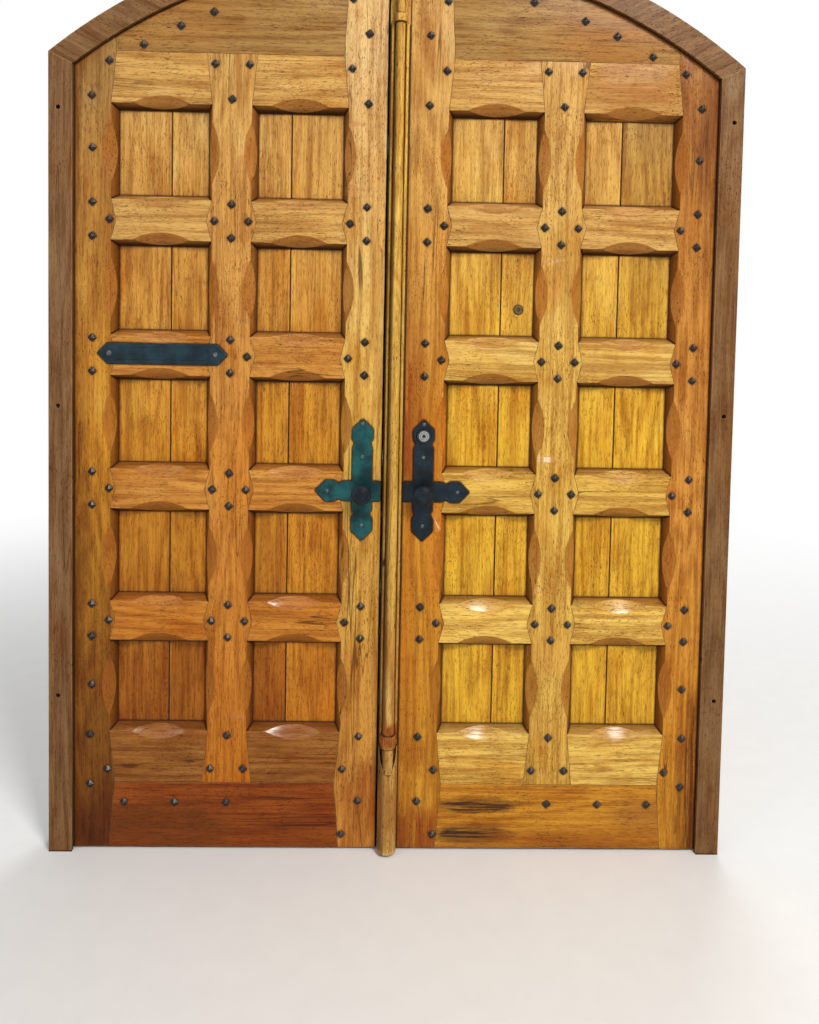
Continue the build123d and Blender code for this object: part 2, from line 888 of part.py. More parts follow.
# Pintles: a plate on the jamb, an arm, and a boss that carries the pin under the strap's eye
with BuildPart() as pintles:
    plate_right = frame_x - pintle_plate_inset
    plate_left = plate_right - pintle_plate_width
    plate_back = frame_back_y + pintle_plate_thickness
    for height in hinge_heights:
        z = floor_gap + height
        boss_top = z - eye_height / 2 - eye_seat_gap
        with BuildSketch(front_plane(frame_back_y)):
            box_sketch([(plate_left, plate_right, z - pintle_plate_height / 2, z + pintle_plate_height / 2)])
        extrude(amount=-pintle_plate_thickness)
        with BuildSketch(Plane.XY.offset(boss_top - boss_height)):
            with Locations((hinge_x, hinge_y)):
                Circle(eye_radius)
            box_sketch([(hinge_x, plate_right, plate_back, hinge_y + pintle_arm)])
        extrude(amount=boss_height)
        with BuildSketch(Plane.XY.offset(boss_top)):
            with Locations((hinge_x, hinge_y)):
                Circle(pin_radius)
        extrude(amount=eye_height + eye_seat_gap + pin_over)
    mirror(about=Plane.YZ)
save("pintles", pintles.part)

# Lattice and boards of both leaves. Each is worked out on the right side of the centre line.
right_holes = make_bores(
    [
        (lock_line, knob_z, spindle_bore),
        (lock_line, cylinder_z, cylinder_radius + cylinder_bore_gap),
        (viewer_x, floor_gap + viewer_height, viewer_radius + viewer_gap),
    ],
    [],
)
left_holes = make_bores(
    [(lock_line, knob_z, spindle_bore)],
    [(
        letter_x - slot_length / 2,
        letter_x + slot_length / 2,
        letter_z - slot_width / 2,
        letter_z + slot_width / 2,
    )],
)
ear_or_bevel = max(ear_reach, bevel_inset)
# The two boards behind the letter plate are pieced above and below its slot
slot_butts = [letter_z - slot_width / 2 - board_gap, letter_z + slot_width / 2]

for side, edge, holes, butts in (
    ("right", right_edge, right_holes, []),
    ("left", left_edge, left_holes, slot_butts),
):
    members = {
        "meeting_stile": make_upright(
            edge, meeting_arris + ear_or_bevel, floor_gap, crown_z + leaf_overlap, panel_cutters[:1], holes, []
        ),
        "muntin": make_upright(
            muntin_left - ear_or_bevel,
            muntin_right + ear_or_bevel,
            lower_joint_z,
            upper_joint_z,
            panel_cutters,
            [],
            muntin_laps,
        ),
        "outer_stile": make_upright(
            outer_arris - ear_or_bevel, leaf_edge, floor_gap, crown_z, panel_cutters[1:], holes, []
        ),
        "bottom_rail": make_rail([bottom_field()], bottom_lap, [], [], muntin_laps[:1]),
        "lower_rail": make_rail([lower_field(*bay) for bay in bays], lower_lap, [0], [], []),
        "upper_rail": make_rail([upper_field(*bay) for bay in bays], upper_lap, [panel_rows - 1], [], []),
        "arch_rail": make_rail([arch_field()], arch_lap, [], [], muntin_laps[1:]),
        "board_inner": make_board(edge, board_joint_inner, False, True, holes, []),
        "board_middle": make_board(board_joint_inner, board_joint_outer, True, True, holes, butts),
        "board_outer": make_board(board_joint_outer, leaf_edge, True, False, holes, butts),
    }
    for row in range(panel_rows - 1):
        fields = [middle_field(*bay, row) for bay in bays]
        members[f"rail_{row + 1}"] = make_rail(fields, middle_lap(row), [row, row + 1], holes, [])
    for name, member in members.items():
        save(f"{side}_{name}", member if side == "right" else mirrored(member))

# Nails and strap hinges
meeting_side = meeting_arris - nail_edge
muntin_sides = (muntin_left + nail_edge, muntin_right - nail_edge)
right_singles = single_nails(0, (meeting_side, *muntin_sides)) + single_nails(1, muntin_sides)
right_singles += single_nails(2, (meeting_side, *muntin_sides)) + single_nails(3, (meeting_side, *muntin_sides))
left_singles = single_nails(0, (meeting_side, *muntin_sides)) + single_nails(1, muntin_sides)
left_singles += single_nails(2, (meeting_side, muntin_sides[0])) + single_nails(3, (meeting_side, *muntin_sides))
covered = (outer_arris + nail_outer_edge, row_z(2) + panel_height + rail_height / 2 - floor_gap)
left_shared = [place for place in nail_places() if place != covered]
save("right_nails", make_nails(nail_places() + right_singles, strap_bolts()))
save("left_nails", mirrored(make_nails(left_shared + left_singles, strap_bolts())))
straps = make_straps()
save("right_straps", straps)
save("left_straps", mirrored(straps))

# Column over the meeting joint: foot, tapered shaft between beads, two rings and a slim top
shaft_y = face_y - column_proud + shaft_radius_high
foot_y = face_y - column_proud + column_width / 2
lower_ring_z = floor_gap + lower_ring_height
upper_ring_z = floor_gap + upper_ring_height
upper_ring_top = upper_ring_z + upper_ring_length
bead_y = face_y - bead_proud + bead_radius
with BuildPart() as column:
    with BuildSketch(Plane.XY.offset(floor_gap)):
        with Locations((0, foot_y)):
            Circle(column_width / 2)
        box_sketch([(-column_width / 2, column_width / 2, foot_y, face_y)])
        with Locations((0, face_y - column_proud / 2)):
            Rectangle(column_width, column_proud, mode=Mode.INTERSECT)
    extrude(amount=lower_ring_z - floor_gap)
    chamfer(column.edges().group_by(Axis.Z)[0].sort_by(Axis.Y)[0], foot_round)
    with BuildSketch(front_plane(face_y - column_proud)):
        with Locations((0, lower_ring_z)):
            Ellipse(tongue_stop_width / 2, tongue_stop_drop)
    extrude(amount=-(column_proud - tongue_stop_proud), mode=Mode.SUBTRACT)
    stop_z = lower_ring_z - tongue_stop_drop
    with BuildSketch(Plane.XY.offset(stop_z)):
        box_sketch([(-column_width / 2, column_width / 2, face_y - column_slab, face_y)])
        box_sketch([(-shaft_web / 2, shaft_web / 2, shaft_y, face_y)])
        with Locations((bead_offset, bead_y), (-bead_offset, bead_y)):
            Circle(bead_radius)
        for centre in (bead_offset, -bead_offset):
            box_sketch([(centre - bead_radius, centre + bead_radius, bead_y, face_y)])
    extrude(amount=upper_ring_z - stop_z)
    with Locations((0, shaft_y, stop_z)):
        Cone(
            shaft_radius_low,
            shaft_radius_high,
            upper_ring_z - stop_z,
            align=(Align.CENTER, Align.CENTER, Align.MIN),
        )
    with BuildSketch(Plane.XY.offset(upper_ring_z)):
        box_sketch([(-column_width / 2, column_width / 2, face_y - column_slab_top, face_y)])
        box_sketch([(-shaft_web / 2, shaft_web / 2, shaft_y, face_y)])
        with Locations((0, shaft_y)):
            Circle(shaft_radius_top)
    extrude(amount=crown_z - upper_ring_z)
    for ring_z, ring_length, ring_radius in (
        (lower_ring_z, lower_ring_length, lower_ring_radius),
        (upper_ring_z, upper_ring_length, upper_ring_radius),
    ):
        with BuildSketch(Plane.XZ.offset(-shaft_y)):
            with Locations((ring_radius / 2, ring_z + ring_length / 2)):
                Rectangle(ring_radius, ring_length)
            with Locations((ring_radius, ring_z + ring_length / 2)):
                Ellipse(ring_round / 2, ring_length / 2)
        revolve(axis=Axis((0, shaft_y, 0), (0, 0, 1)))
    with BuildSketch(front_plane(face_y)):
        with Locations((0, arch_z)):
            Circle(arch_radius - column_lip_gap)
        with Locations((0, arch_z)):
            Rectangle(column_width, 2 * arch_radius, mode=Mode.INTERSECT)
    extrude(amount=column_proud + ring_round, mode=Mode.INTERSECT)
save("column", column.part)

# Cross plates, knobs and the cylinder
knob_bore = (knob_z, neck_radius + running_clearance)
right_reach = lock_line - column_width / 2 - plate_edge_gap
left_reach = lock_line - left_edge - plate_edge_gap
cylinder_bore = (cylinder_z, cylinder_radius + cylinder_bore_gap)
save("right_cross_plate", make_cross_plate(right_reach, [knob_bore, cylinder_bore]))
save("left_cross_plate", mirrored(make_cross_plate(left_reach, [knob_bore])))

outer_neck = knob_reach - knob_length + neck_seat - plate_thickness
neck_start = plate_y + neck_seat
spindle_end = case_y + knob_length / 2
with BuildPart() as knob_outer:
    with BuildSketch(axis_plane(lock_line, neck_start, knob_z, -1)):
        with BuildLine():
            knob_profile(outer_neck)
        make_face()
    revolve(axis=Axis((lock_line, neck_start, knob_z), (0, -1, 0)))
    with BuildSketch(front_plane(neck_start)):
        with Locations((lock_line, knob_z)):
            Rectangle(spindle_size, spindle_size)
    extrude(amount=neck_start - spindle_end)
save("knob_outer", knob_outer.part)

with BuildPart() as dummy_knob:
    with BuildSketch(axis_plane(-lock_line, neck_start, knob_z, -1)):
        with BuildLine():
            knob_profile(outer_neck)
        make_face()
    revolve(axis=Axis((-lock_line, neck_start, knob_z), (0, -1, 0)))
    with BuildSketch(front_plane(neck_start)):
        with Locations((-lock_line, knob_z)):
            Circle(spindle_size / 2)
    extrude(amount=neck_start - back_y)
save("dummy_knob", dummy_knob.part)

inner_neck_start = back_y + case_depth / 2
inner_neck = -face_y + knob_reach - knob_length - inner_neck_start
with BuildPart() as knob_inner:
    with BuildSketch(axis_plane(lock_line, inner_neck_start, knob_z, 1)):
        with BuildLine():
            knob_profile(inner_neck)
        make_face()
    revolve(axis=Axis((lock_line, inner_neck_start, knob_z), (0, 1, 0)))
    with BuildSketch(front_plane(inner_neck_start)):
        with Locations((lock_line, knob_z)):
            Rectangle(spindle_size + 2 * spindle_clearance, spindle_size + 2 * spindle_clearance)
    extrude(amount=inner_neck_start - spindle_end - spindle_clearance, mode=Mode.SUBTRACT)
save("knob_inner", knob_inner.part)

with BuildPart() as cylinder_body:
    with BuildSketch(front_plane(back_y)):
        with Locations((lock_line, cylinder_z)):
            Circle(cylinder_radius)
    extrude(amount=back_y - plate_y)
    with BuildSketch(front_plane(plate_y)):
        with Locations((lock_line, cylinder_z)):
            Circle(cylinder_flange_radius)
    extrude(amount=cylinder_flange, taper=cylinder_taper)
    with BuildSketch(front_plane(back_y)):
        with Locations((lock_line, cylinder_z)):
            Circle(plug_radius + running_clearance)
    extrude(amount=back_y - plate_y + cylinder_flange, mode=Mode.SUBTRACT)
save("cylinder_body", cylinder_body.part)

plug_front = plate_y - cylinder_flange - plug_proud
with BuildPart() as key_plug:
    with BuildSketch(front_plane(back_y)):
        with Locations((lock_line, cylinder_z)):
            Circle(plug_radius)
    extrude(amount=back_y - plug_front)
    with BuildSketch(front_plane(back_y)):
        with Locations((lock_line, cylinder_z)):
            Circle(tail_radius)
    extrude(amount=-tail_reach)
    with BuildSketch(front_plane(plug_front)):
        with Locations((lock_line, cylinder_z)):
            SlotOverall(keyway_height, keyway_width, rotation=90)
    extrude(amount=-cylinder_flange, mode=Mode.SUBTRACT)
save("key_plug", key_plug.part)

# Rim lock: a case with two bolt channels, open towards the meeting edge
case_left = right_edge + case_edge_gap
case_right = case_left + case_width
case_low = knob_z - case_margin
case_high = cylinder_z + case_margin
bolt_y = (back_y + case_y) / 2
bolt_rows = ((knob_z, latch_height), (cylinder_z, dead_height))
with BuildPart() as lock_case:
    with BuildSketch(front_plane(back_y)):
        box_sketch([(case_left, case_right, case_low, case_high)])
    extrude(amount=-case_depth)
    back = lock_case.faces().sort_by(Axis.Y)[-1]
    fillet(back.edges(), case_round)
    with BuildSketch(front_plane(bolt_y + bolt_thickness / 2 + bolt_clearance)):
        for z, height in bolt_rows:
            box_sketch([(
                case_left - cut_over,
                case_left + bolt_length + bolt_clearance,
                z - height / 2 - bolt_clearance,
                z + height / 2 + bolt_clearance,
            )])
    extrude(amount=bolt_thickness + 2 * bolt_clearance, mode=Mode.SUBTRACT)
    with BuildSketch(front_plane(back_y)):
        with Locations((lock_line, knob_z)):
            Circle(neck_radius + running_clearance)
    extrude(amount=-case_depth, mode=Mode.SUBTRACT)
    with BuildSketch(front_plane(back_y)):
        with Locations((lock_line, cylinder_z)):
            Circle(tail_radius + bolt_clearance)
    extrude(amount=-(tail_reach + bolt_clearance), mode=Mode.SUBTRACT)
save("lock_case", lock_case.part)

for name, z, height, nose_cut in (
    ("latch_bolt", knob_z, latch_height, latch_nose),
    ("dead_bolt", cylinder_z, dead_height, dead_nose),
):
    with BuildPart() as bolt:
        with BuildSketch(front_plane(bolt_y + bolt_thickness / 2)):
            box_sketch([(case_left, case_left + bolt_length, z - height / 2, z + height / 2)])
        extrude(amount=bolt_thickness)
        nose = bolt.edges().filter_by(Axis.Z).group_by(Axis.X)[0]
        chamfer(nose.sort_by(Axis.Y)[-1], nose_cut)
    save(name, bolt.part)

keep_right = -left_edge - keep_edge_gap
with BuildPart() as lock_keep:
    with BuildSketch(front_plane(back_y)):
        box_sketch([(keep_right - keep_width, keep_right, case_low, case_high)])
    extrude(amount=-case_depth)
    back = lock_keep.faces().sort_by(Axis.Y)[-1]
    fillet(back.edges(), case_round)
    with BuildSketch(front_plane(bolt_y + bolt_thickness / 2 + keep_clearance)):
        for z, height in bolt_rows:
            box_sketch([(
                keep_right - dead_throw,
                keep_right + cut_over,
                z - height / 2 - keep_clearance,
                z + height / 2 + keep_clearance,
            )])
    extrude(amount=bolt_thickness + 2 * keep_clearance, mode=Mode.SUBTRACT)
save("lock_keep", lock_keep.part)

# Viewer
viewer_z = floor_gap + viewer_height
with BuildPart() as viewer_body:
    with BuildSketch(front_plane(back_y)):
        with Locations((viewer_x, viewer_z)):
            Circle(viewer_radius)
    extrude(amount=board_depth)
    with BuildSketch(front_plane(board_y)):
        with Locations((viewer_x, viewer_z)):
            Circle(viewer_flange_radius)
    extrude(amount=viewer_flange, taper=viewer_taper)
    with BuildSketch(front_plane(back_y)):
        with Locations((viewer_x, viewer_z)):
            Circle(viewer_flange_radius)
    extrude(amount=-viewer_flange)
    with BuildSketch(front_plane(board_y - viewer_flange)):
        with Locations((viewer_x, viewer_z)):
            Circle(lens_radius)
    extrude(amount=-(board_depth + 2 * viewer_flange), mode=Mode.SUBTRACT)
save("viewer_body", viewer_body.part)

with BuildPart() as viewer_lens:
    with BuildSketch(front_plane(back_y)):
        with Locations((viewer_x, viewer_z)):
            Circle(lens_radius - viewer_gap)
    extrude(amount=board_depth)
    with BuildSketch(front_plane(board_y)):
        with Locations((viewer_x, viewer_z)):
            Circle(lens_radius - viewer_gap)
    extrude(amount=lens_dome, taper=lens_taper)
save("viewer_lens", viewer_lens.part)

# Letter plate with a flap that hangs from a pin along its upper edge
letter_y = face_y - letter_thickness
half_letter = letter_length / 2
letter_outline = [
    (-half_letter, 0),
    (-half_letter + letter_point, letter_width / 2),
    (half_letter - letter_point, letter_width / 2),
    (half_letter, 0),
    (half_letter - letter_point, -letter_width / 2),
    (-half_letter + letter_point, -letter_width / 2),
]
with BuildPart() as letter_plate:
    with BuildSketch(front_plane(face_y)):
        Polygon(*[(-letter_x + x, letter_z + z) for x, z in letter_outline])
    extrude(amount=letter_thickness)
    front = letter_plate.faces().sort_by(Axis.Y)[0]
    chamfer(front.edges(), plate_bevel)
    with BuildSketch(front_plane(face_y)):
        with Locations((-letter_x, letter_z)):
            Rectangle(flap_length + 2 * flap_clearance, flap_width + 2 * flap_clearance)
    extrude(amount=letter_thickness, mode=Mode.SUBTRACT)
    with BuildSketch(front_plane(face_y)):
        with Locations((-letter_x, letter_z)):
            Rectangle(flap_length + 2 * flap_clearance, flap_width + 2 * flap_clearance)
        with Locations((-letter_x, letter_z)):
            Rectangle(slot_length, slot_width, mode=Mode.SUBTRACT)
    extrude(amount=letter_web)
save("letter_plate", letter_plate.part)

with BuildPart() as letter_flap:
    with BuildSketch(front_plane(face_y - letter_web - flap_clearance)):
        with Locations((-letter_x, letter_z)):
            Rectangle(flap_length, flap_width)
    extrude(amount=flap_thickness)
    fillet(letter_flap.edges().filter_by(Axis.X), flap_round)
save("letter_flap", letter_flap.part)

# Screw heads of the plates, the lock and the keep
plate_places = [
    (lock_line, knob_z + plate_screw_reach),
    (lock_line, knob_z + plate_rivet_reach),
    (lock_line + plate_screw_reach, knob_z),
    (lock_line, knob_z - plate_screw_reach),
]
case_screws = [
    (x, z)
    for x in (case_left + case_screw_inset, case_right - case_screw_inset)
    for z in (case_low + case_screw_drop, case_high - case_screw_drop)
]
with BuildPart() as right_plate_screws:
    add(make_heads(plate_places, plate_y, -1, screw_head_radius, screw_head_height))
    add(make_heads(case_screws, case_y, 1, screw_head_radius, screw_head_height))
save("right_plate_screws", right_plate_screws.part)

# Bolt at the top of the left leaf, and its keep on the head
rod_y = back_y + top_bolt_plate_thickness + guide_wall / 2 + rod_radius
leaf_top_z = arch_z + sqrt(leaf_radius**2 - top_bolt_line**2)
rod_top = leaf_top_z - rod_rest_gap
bolt_plate_top = leaf_top_z - top_bolt_drop
bolt_plate_low = bolt_plate_top - top_bolt_plate_length
rod_low = bolt_plate_low + guide_length - rod_throw - rod_spare
guide_tops = (bolt_plate_top - guide_length / 2, bolt_plate_low + 2 * guide_length)
with BuildPart() as top_bolt_plate:
    with BuildSketch(front_plane(back_y)):
        box_sketch([(
            -top_bolt_line - top_bolt_plate_width / 2,
            -top_bolt_line + top_bolt_plate_width / 2,
            bolt_plate_low,
            bolt_plate_top,
        )])
    extrude(amount=-top_bolt_plate_thickness)
    for guide_top in guide_tops:
        with BuildSketch(Plane.XY.offset(guide_top - guide_length)):
            with Locations((-top_bolt_line, rod_y)):
                Circle(rod_radius + guide_wall)
            box_sketch([(
                -top_bolt_line - rod_radius - guide_wall,
                -top_bolt_line + rod_radius + guide_wall,
                back_y + top_bolt_plate_thickness,
                rod_y,
            )])
        extrude(amount=guide_length)
        with BuildSketch(Plane.XY.offset(guide_top - guide_length)):
            with Locations((-top_bolt_line, rod_y)):
                Circle(rod_radius + rod_clearance)
        extrude(amount=guide_length, mode=Mode.SUBTRACT)
save("top_bolt_plate", top_bolt_plate.part)

with BuildPart() as top_bolt:
    with BuildSketch(Plane.XY.offset(rod_low)):
        with Locations((-top_bolt_line, rod_y)):
            Circle(rod_radius)
    extrude(amount=rod_top - rod_low)
    chamfer(top_bolt.edges().sort_by(Axis.Z)[-1], rod_tip)
    handle_z = (guide_tops[0] - guide_length + guide_tops[1]) / 2
    with BuildSketch(front_plane(rod_y)):
        with Locations((-top_bolt_line, handle_z)):
            Circle(rod_handle_radius)
    extrude(amount=-(rod_radius + rod_handle_length))
save("top_bolt", top_bolt.part)

keep_block_z = arch_z + sqrt(rebate_radius**2 - top_bolt_line**2) + keep_block_inset
with BuildPart() as top_bolt_keep:
    with BuildSketch(Plane.XY.offset(keep_block_z)):
        box_sketch([(
            -top_bolt_line - keep_block_width / 2,
            -top_bolt_line + keep_block_width / 2,
            frame_back_y,
            rod_y + rod_radius + guide_wall,
        )])
    extrude(amount=keep_block_height)
    with BuildSketch(Plane.XY.offset(keep_block_z)):
        with Locations((-top_bolt_line, rod_y)):
            Rectangle(2 * (rod_radius + keep_clearance), 2 * (rod_radius + keep_clearance))
    extrude(amount=keep_block_height, mode=Mode.SUBTRACT)
save("top_bolt_keep", top_bolt_keep.part)

left_plate_places = [(-x, z) for x, z in plate_places]
keep_screws = [
    (keep_right - keep_width / 2, z) for z in (case_low + case_screw_drop, case_high - case_screw_drop)
]
bolt_screws = [
    (-top_bolt_line + dx, z)
    for dx in (-bolt_screw_offset, bolt_screw_offset)
    for z in (bolt_plate_low + guide_length / 2, (bolt_plate_low + bolt_plate_top) / 2)
]
letter_bolts = [
    (-letter_x - half_letter + letter_bolt_inset, letter_z),
    (-letter_x + half_letter - letter_bolt_inset, letter_z),
]
with BuildPart() as left_plate_bolts:
    add(make_heads(left_plate_places, plate_y, -1, screw_head_radius, screw_head_height))
    add(make_heads(keep_screws, case_y, 1, screw_head_radius, screw_head_height))
    add(
        make_heads(
            bolt_screws, back_y + top_bolt_plate_thickness, 1, small_screw_radius, small_screw_height
        )
    )
    add(make_heads(letter_bolts, letter_y, -1, letter_bolt_radius, letter_bolt_height))
save("left_plate_bolts", left_plate_bolts.part)
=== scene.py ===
"""Finishes and small forged pieces for an arched pair of oak leaves in their timber frame."""

import json
import logging
import math
from dataclasses import dataclass, field
from enum import Enum

import bmesh
import bpy
from mathutils import Matrix, Vector, noise


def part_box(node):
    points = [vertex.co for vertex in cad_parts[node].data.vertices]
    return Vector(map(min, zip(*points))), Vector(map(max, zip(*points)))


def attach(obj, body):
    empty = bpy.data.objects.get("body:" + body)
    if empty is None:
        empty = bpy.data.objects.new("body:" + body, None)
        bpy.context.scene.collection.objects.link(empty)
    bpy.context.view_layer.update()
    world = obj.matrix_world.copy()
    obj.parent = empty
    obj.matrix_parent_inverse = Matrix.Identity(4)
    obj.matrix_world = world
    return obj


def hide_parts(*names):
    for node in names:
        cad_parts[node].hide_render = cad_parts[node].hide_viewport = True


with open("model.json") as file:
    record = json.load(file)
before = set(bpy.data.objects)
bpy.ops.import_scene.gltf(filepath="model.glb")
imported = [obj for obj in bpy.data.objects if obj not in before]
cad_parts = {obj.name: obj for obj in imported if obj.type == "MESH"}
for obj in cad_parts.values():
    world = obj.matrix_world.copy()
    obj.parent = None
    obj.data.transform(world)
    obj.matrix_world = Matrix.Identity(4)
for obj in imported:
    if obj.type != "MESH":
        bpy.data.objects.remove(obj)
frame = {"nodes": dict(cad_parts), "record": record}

LOG = logging.getLogger("arched_door")
RECORD = frame["record"]
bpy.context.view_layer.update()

Colour = tuple[float, float, float]
Triple = tuple[float, float, float]


# ---------------------------------------------------------------- shader maths


class Wire:
    """One output socket of a material, with arithmetic that adds Math nodes."""

    def __init__(self, recipe: "Recipe", socket: bpy.types.NodeSocket) -> None:
        """Keeps the socket and the recipe that it belongs to."""
        self.recipe = recipe
        self.socket = socket

    def _join(self, operation: str, first: "Wire | float", second: "Wire | float" = 0.0) -> "Wire":
        """Adds one Math node.

        Args:
            operation: the Math node's operation.
            first: its first value.
            second: its second value.

        Returns:
            The node's output.
        """
        return self.recipe.add("ShaderNodeMath", {"operation": operation}, {0: first, 1: second})

    def __add__(self, other: "Wire | float") -> "Wire":
        """Sum."""
        return self._join("ADD", self, other)

    def __radd__(self, other: float) -> "Wire":
        """Sum with a number on the left."""
        return self._join("ADD", other, self)

    def __sub__(self, other: "Wire | float") -> "Wire":
        """Difference."""
        return self._join("SUBTRACT", self, other)

    def __rsub__(self, other: float) -> "Wire":
        """Difference with a number on the left."""
        return self._join("SUBTRACT", other, self)

    def __mul__(self, other: "Wire | float") -> "Wire":
        """Product."""
        return self._join("MULTIPLY", self, other)

    def __rmul__(self, other: float) -> "Wire":
        """Product with a number on the left."""
        return self._join("MULTIPLY", other, self)

    def __truediv__(self, other: "Wire | float") -> "Wire":
        """Quotient."""
        return self._join("DIVIDE", self, other)

    def __pow__(self, other: float) -> "Wire":
        """Power."""
        return self._join("POWER", self, other)

    def size(self) -> "Wire":
        """Absolute value."""
        return self._join("ABSOLUTE", self)

    def wave(self) -> "Wire":
        """Sine, moved to run from 0 to 1."""
        return self._join("SINE", self) * 0.5 + 0.5

    def least(self, other: "Wire | float") -> "Wire":
        """The smaller of two values."""
        return self._join("MINIMUM", self, other)

    def most(self, other: "Wire | float") -> "Wire":
        """The larger of two values."""
        return self._join("MAXIMUM", self, other)

    def step(self, start: float, end: float) -> "Wire":
        """Rises softly from 0 at start to 1 at end (falls, where end is the smaller).

        Args:
            start: the value that gives 0.
            end: the value that gives 1.

        Returns:
            The mask.
        """
        return self.recipe.add(
            "ShaderNodeMapRange",
            {"interpolation_type": "SMOOTHSTEP"},
            {"Value": self, "From Min": start, "From Max": end},
        )

    def times(self, scale: Triple) -> "Wire":
        """A vector stretched by a triple."""
        return self.recipe.add(
            "ShaderNodeVectorMath", {"operation": "MULTIPLY"}, {0: self, 1: scale}
        )

    def moved(self, offset: "Triple | Wire") -> "Wire":
        """A vector moved by a triple."""
        return self.recipe.add("ShaderNodeVectorMath", {"operation": "ADD"}, {0: self, 1: offset})

    def dot(self, other: "Wire | Triple") -> "Wire":
        """The dot product with another vector."""
        settings = {"operation": "DOT_PRODUCT"}
        return self.recipe.add("ShaderNodeVectorMath", settings, {0: self, 1: other}, take=1)

    def twin(self, index: int) -> "Wire":
        """Another output of the same node."""
        return Wire(self.recipe, self.socket.node.outputs[index])


class Recipe:
    """The node tree of one material, filled by one method."""

    def __init__(self, name: str) -> None:
        """Makes an empty material of that name."""
        self.material = bpy.data.materials.new(name)
        self.material.use_nodes = True
        self.tree = self.material.node_tree
        self.tree.nodes.clear()

    def add(
        self,
        kind: str,
        settings: dict | None = None,
        values: dict | None = None,
        take: int = 0,
    ) -> Wire:
        """Adds any node.

        Args:
            kind: the node's type.
            settings: its properties, set first; "stops" fills a colour ramp.
            values: constants or wires for its sockets, by name or number.
            take: which output to return.

        Returns:
            The chosen output.
        """
        node = self.tree.nodes.new(kind)
        for key, value in (settings or {}).items():
            if key == "stops":
                self._fill_ramp(node, value)
            else:
                setattr(node, key, value)
        for key, value in (values or {}).items():
            socket = node.inputs[key]
            if isinstance(value, Wire):
                self.tree.links.new(value.socket, socket)
            elif socket.type == "RGBA" and len(value) == 3:
                socket.default_value = (*value, 1.0)
            else:
                socket.default_value = value
        return Wire(self, node.outputs[take]) if node.outputs else Wire(self, None)

    @staticmethod
    def _fill_ramp(node: bpy.types.Node, stops: list[tuple[float, Colour]]) -> None:
        """Gives a colour ramp its stops."""
        ramp = node.color_ramp
        while len(ramp.elements) < len(stops):
            ramp.elements.new(1.0)
        for element, (place, colour) in zip(ramp.elements, stops):
            element.position = place
            element.color = (*colour, 1.0)

    def place(self) -> Wire:
        """The point on the piece, in metres."""
        return self.add("ShaderNodeTexCoord", take=3)

    def join(self, across: Wire | float, depth: Wire | float, along: Wire | float) -> Wire:
        """One vector from three values."""
        return self.add("ShaderNodeCombineXYZ", values={0: across, 1: depth, 2: along})

    def noise(
        self, at: Wire, scale: float = 1.0, detail: float = 2.0, rough: float = 0.5, bend: float = 0.0
    ) -> Wire:
        """A cloud pattern.

        Args:
            at: where it is read.
            scale: clouds in a metre.
            detail: octaves of finer clouds.
            rough: how strong the finer ones are.
            bend: how much the pattern is distorted.

        Returns:
            The value, from 0 to 1.
        """
        values = {"Vector": at, "Scale": scale, "Detail": detail, "Roughness": rough}
        values["Distortion"] = bend
        return self.add("ShaderNodeTexNoise", values=values)

    def scatter(self, at: Wire, scale: float) -> Wire:
        """Distance to points scattered on a flat sheet; its twin 1 is each point's own colour."""
        settings = {"voronoi_dimensions": "2D"}
        return self.add("ShaderNodeTexVoronoi", settings, {"Vector": at, "Scale": scale})

    def mix(self, share: Wire | float, first: Wire | Colour, second: Wire | Colour, mode: str = "MIX") -> Wire:
        """Mixes two colours.

        Args:
            share: how much of the second.
            first: the first colour.
            second: the second colour.
            mode: the blend type.

        Returns:
            The mixed colour.
        """
        settings = {"data_type": "RGBA", "blend_type": mode}
        return self.add("ShaderNodeMix", settings, {0: share, 6: first, 7: second}, take=2)

    def first_of(self, colour: Wire) -> Wire:
        """The first channel of a colour, as a number."""
        return self.add("ShaderNodeSeparateColor", values={0: colour})

    def corners(self, radius: float) -> tuple[Wire, Wire]:
        """Rounded edges for the light.

        Args:
            radius: how round, in metres.

        Returns:
            The rounded normal, and a mask that is 1 on the edges.
        """
        rounded = self.add("ShaderNodeBevel", {"samples": 4}, {"Radius": radius})
        flat = self.add("ShaderNodeNewGeometry", take=1)
        return rounded, (1.0 - rounded.dot(flat)).step(0.01, 0.22)

    def hollows(self, reach: float) -> Wire:
        """A mask that is 1 deep in a corner or groove."""
        seen = self.add("ShaderNodeAmbientOcclusion", {"samples": 4}, {"Distance": reach}, take=1)
        return 1.0 - seen

    def relief(self, height: Wire, depth: float, rounded: Wire, strength: float = 1.0) -> Wire:
        """A bump on top of the rounded edges.

        Args:
            height: the pattern, from 0 to 1.
            depth: what 1 means, in metres.
            rounded: the normal underneath.
            strength: the share that shows.

        Returns:
            The normal.
        """
        values = {"Strength": strength, "Distance": depth, "Height": height, "Normal": rounded}
        return self.add("ShaderNodeBump", values=values)

    def finish(self, values: dict) -> bpy.types.Material:
        """Ends the material.

        Args:
            values: what goes into the shader's sockets.

        Returns:
            The material.
        """
        shader = self.add("ShaderNodeBsdfPrincipled", values=values)
        self.add("ShaderNodeOutputMaterial", values={"Surface": shader})
        return self.material


# ---------------------------------------------------------------- finishes


class Grain(Enum):
    """Which way a piece of oak was cut."""

    UPRIGHT = "upright"
    LEVEL = "level"


